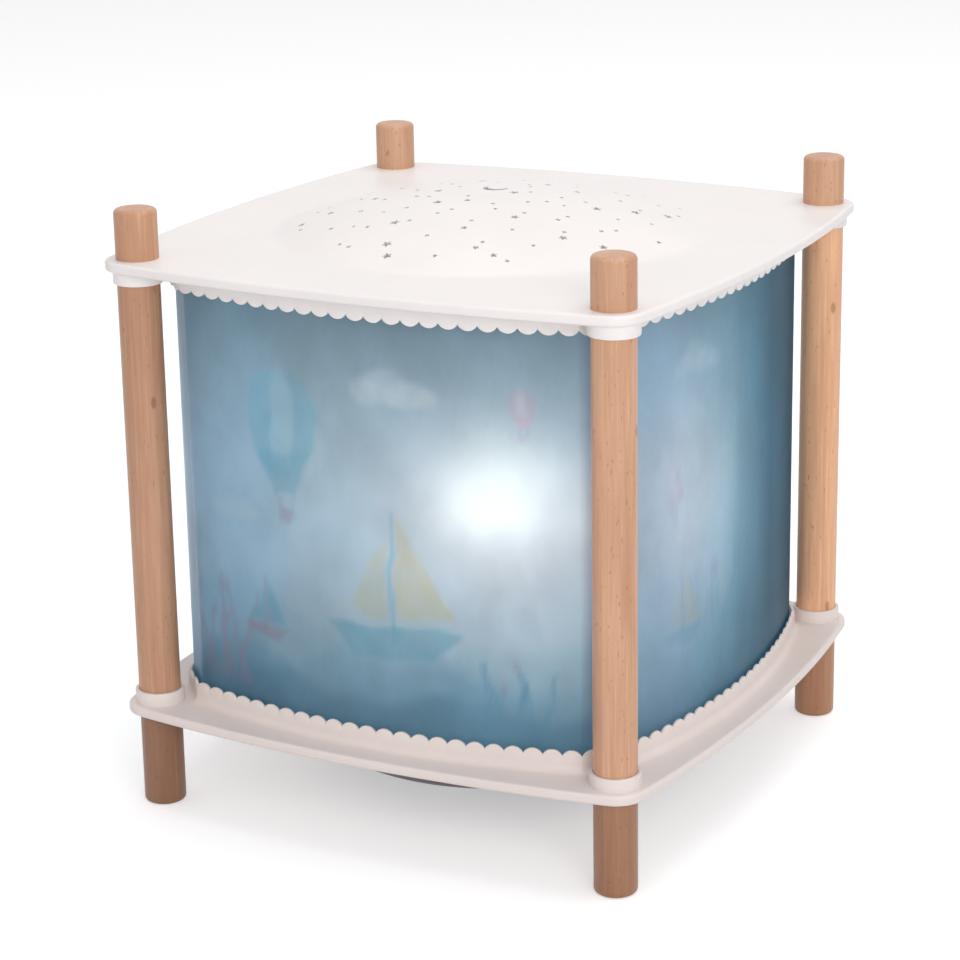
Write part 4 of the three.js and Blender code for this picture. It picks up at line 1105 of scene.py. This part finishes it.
def add_socket():
    centre, size = middle("charging_socket")
    start, end = centre.x - size.x / 2, centre.x + size.x / 2
    laid = lambda outline, low, high: along_x(prism(outline, low, high), centre.y, centre.z)
    piece = add_piece("inlet", *laid(stadium(size.y, size.z), start, end))
    mouth = stadium(size.y - 2 * port_wall, size.z - 2 * port_wall)
    combine(piece, [laid(mouth, start - 1, end - port_back)], "DIFFERENCE")
    tongue = rectangle(port_tongue_height / 2, port_tongue_width / 2)
    combine(piece, [laid(tongue, start + port_tongue_inset, end - port_back / 2)], "UNION")
    dress(piece, steel_look, "charging_socket")


def keep(material, *nodes):
    for node in nodes:
        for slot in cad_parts[node].material_slots:
            slot.material = material


add_posts()
add_plates()
add_shade()
add_drum()
add_bulb()
add_housing()
add_cover()
for node in base_screws + cover_screws:
    add_screw(node)
add_button()
add_socket()
keep(steel_look, "column_nut", "retaining_clip", "gear_motor", "motor_shaft", "motor_screw_1",
     "motor_screw_2", *[f"{end}_stud_{corner}" for end in ("lower", "upper") for corner in posts])
keep(clear_look, "drum_upper_ring", "drum_wheel")
keep(bearing_look, "hub_bush", "drum_gear", "motor_pinion", "thrust_washer")
keep(white_look, "lamp_column", "bulb_socket", "led_board")
keep(black_look, "battery_holder", "power_switch")
keep(wrap_look, "battery_cell")
keep(board_look, "circuit_board")
keep(led_look, "led_1", "led_2", "led_3")


# Stage: a white floor, soft studio light and the photograph's camera

floor_half_width = 4 / MM
lit_point = Vector((0, 0, 0.08))
camera_place = Vector((0.37316, -0.70937, 0.33167))
camera_angles = (-28.088, 17.034, -1.01)
camera_lens = 107.22


def add_floor():
    corners = [(x, y, 0) for x, y in rectangle(floor_half_width, floor_half_width)]
    piece = add_piece("floor", corners, [(0, 1, 2, 3)])
    look = Look("floor_white", roughness=0.9, specular=0.1)
    look.set("base_color", (0.82, 0.82, 0.83, 1))
    rays = look.add("LightPath").outputs
    mirrored = look.math("MAXIMUM", rays["Is Glossy Ray"], rays["Is Transmission Ray"])
    seen = look.math("MAXIMUM", rays["Is Camera Ray"], mirrored)
    look.set("emission_color", (1, 1, 1, 1))
    look.set("emission_strength", look.math("MULTIPLY", seen, 0.42))
    piece.data.materials.append(look.material)


def add_world():
    """A pale surround that is white to the camera and in reflections."""
    world = bpy.data.worlds.new("studio")
    bpy.context.scene.world = world
    surround = Nodes(world)
    rays = surround.add("LightPath").outputs
    seen = surround.math("MAXIMUM", rays["Is Camera Ray"], rays["Is Glossy Ray"])
    level = surround.add("MapRange", {"Value": seen, "To Min": 0.5, "To Max": 1.0})
    background = surround.nodes["Background"].inputs
    surround.put(background["Color"], (1, 1, 1, 1))
    surround.put(background["Strength"], level.outputs[0])


def add_light(name, place, size, watts):
    data = bpy.data.lights.new(name, "AREA")
    data.shape = "DISK"
    data.size = size
    data.energy = watts
    light = bpy.data.objects.new(name, data)
    light.location = place
    light.rotation_euler = (lit_point - Vector(place)).to_track_quat("-Z", "Y").to_euler()
    bpy.context.scene.collection.objects.link(light)


def add_camera():
    data = bpy.data.cameras.new("camera")
    data.sensor_width = 36
    data.lens = camera_lens
    data.clip_start = 0.01
    camera = bpy.data.objects.new("camera", data)
    yaw, pitch, roll = (math.radians(angle) for angle in camera_angles)
    ahead = Vector((math.sin(yaw), math.cos(yaw), 0))
    forward = ahead * math.cos(pitch) - Vector((0, 0, math.sin(pitch)))
    right = Vector((math.cos(yaw), -math.sin(yaw), 0))
    up = right.cross(forward)
    rolled_right = right * math.cos(roll) + up * math.sin(roll)
    rolled_up = up * math.cos(roll) - right * math.sin(roll)
    turn = Matrix((rolled_right, rolled_up, -forward)).transposed().to_4x4()
    camera.matrix_world = Matrix.Translation(camera_place) @ turn
    bpy.context.scene.collection.objects.link(camera)
    bpy.context.scene.camera = camera


add_floor()
add_world()
add_light("softbox", (0.15, 0.2, 1.6), 1.4, 10.5)
add_light("fill", (-1.2, -1.1, 0.9), 1.4, 1)
add_light("side", (0.9, -1.1, 0.6), 1.0, 9)
add_camera()
bpy.context.scene.view_settings.view_transform = "Standard"
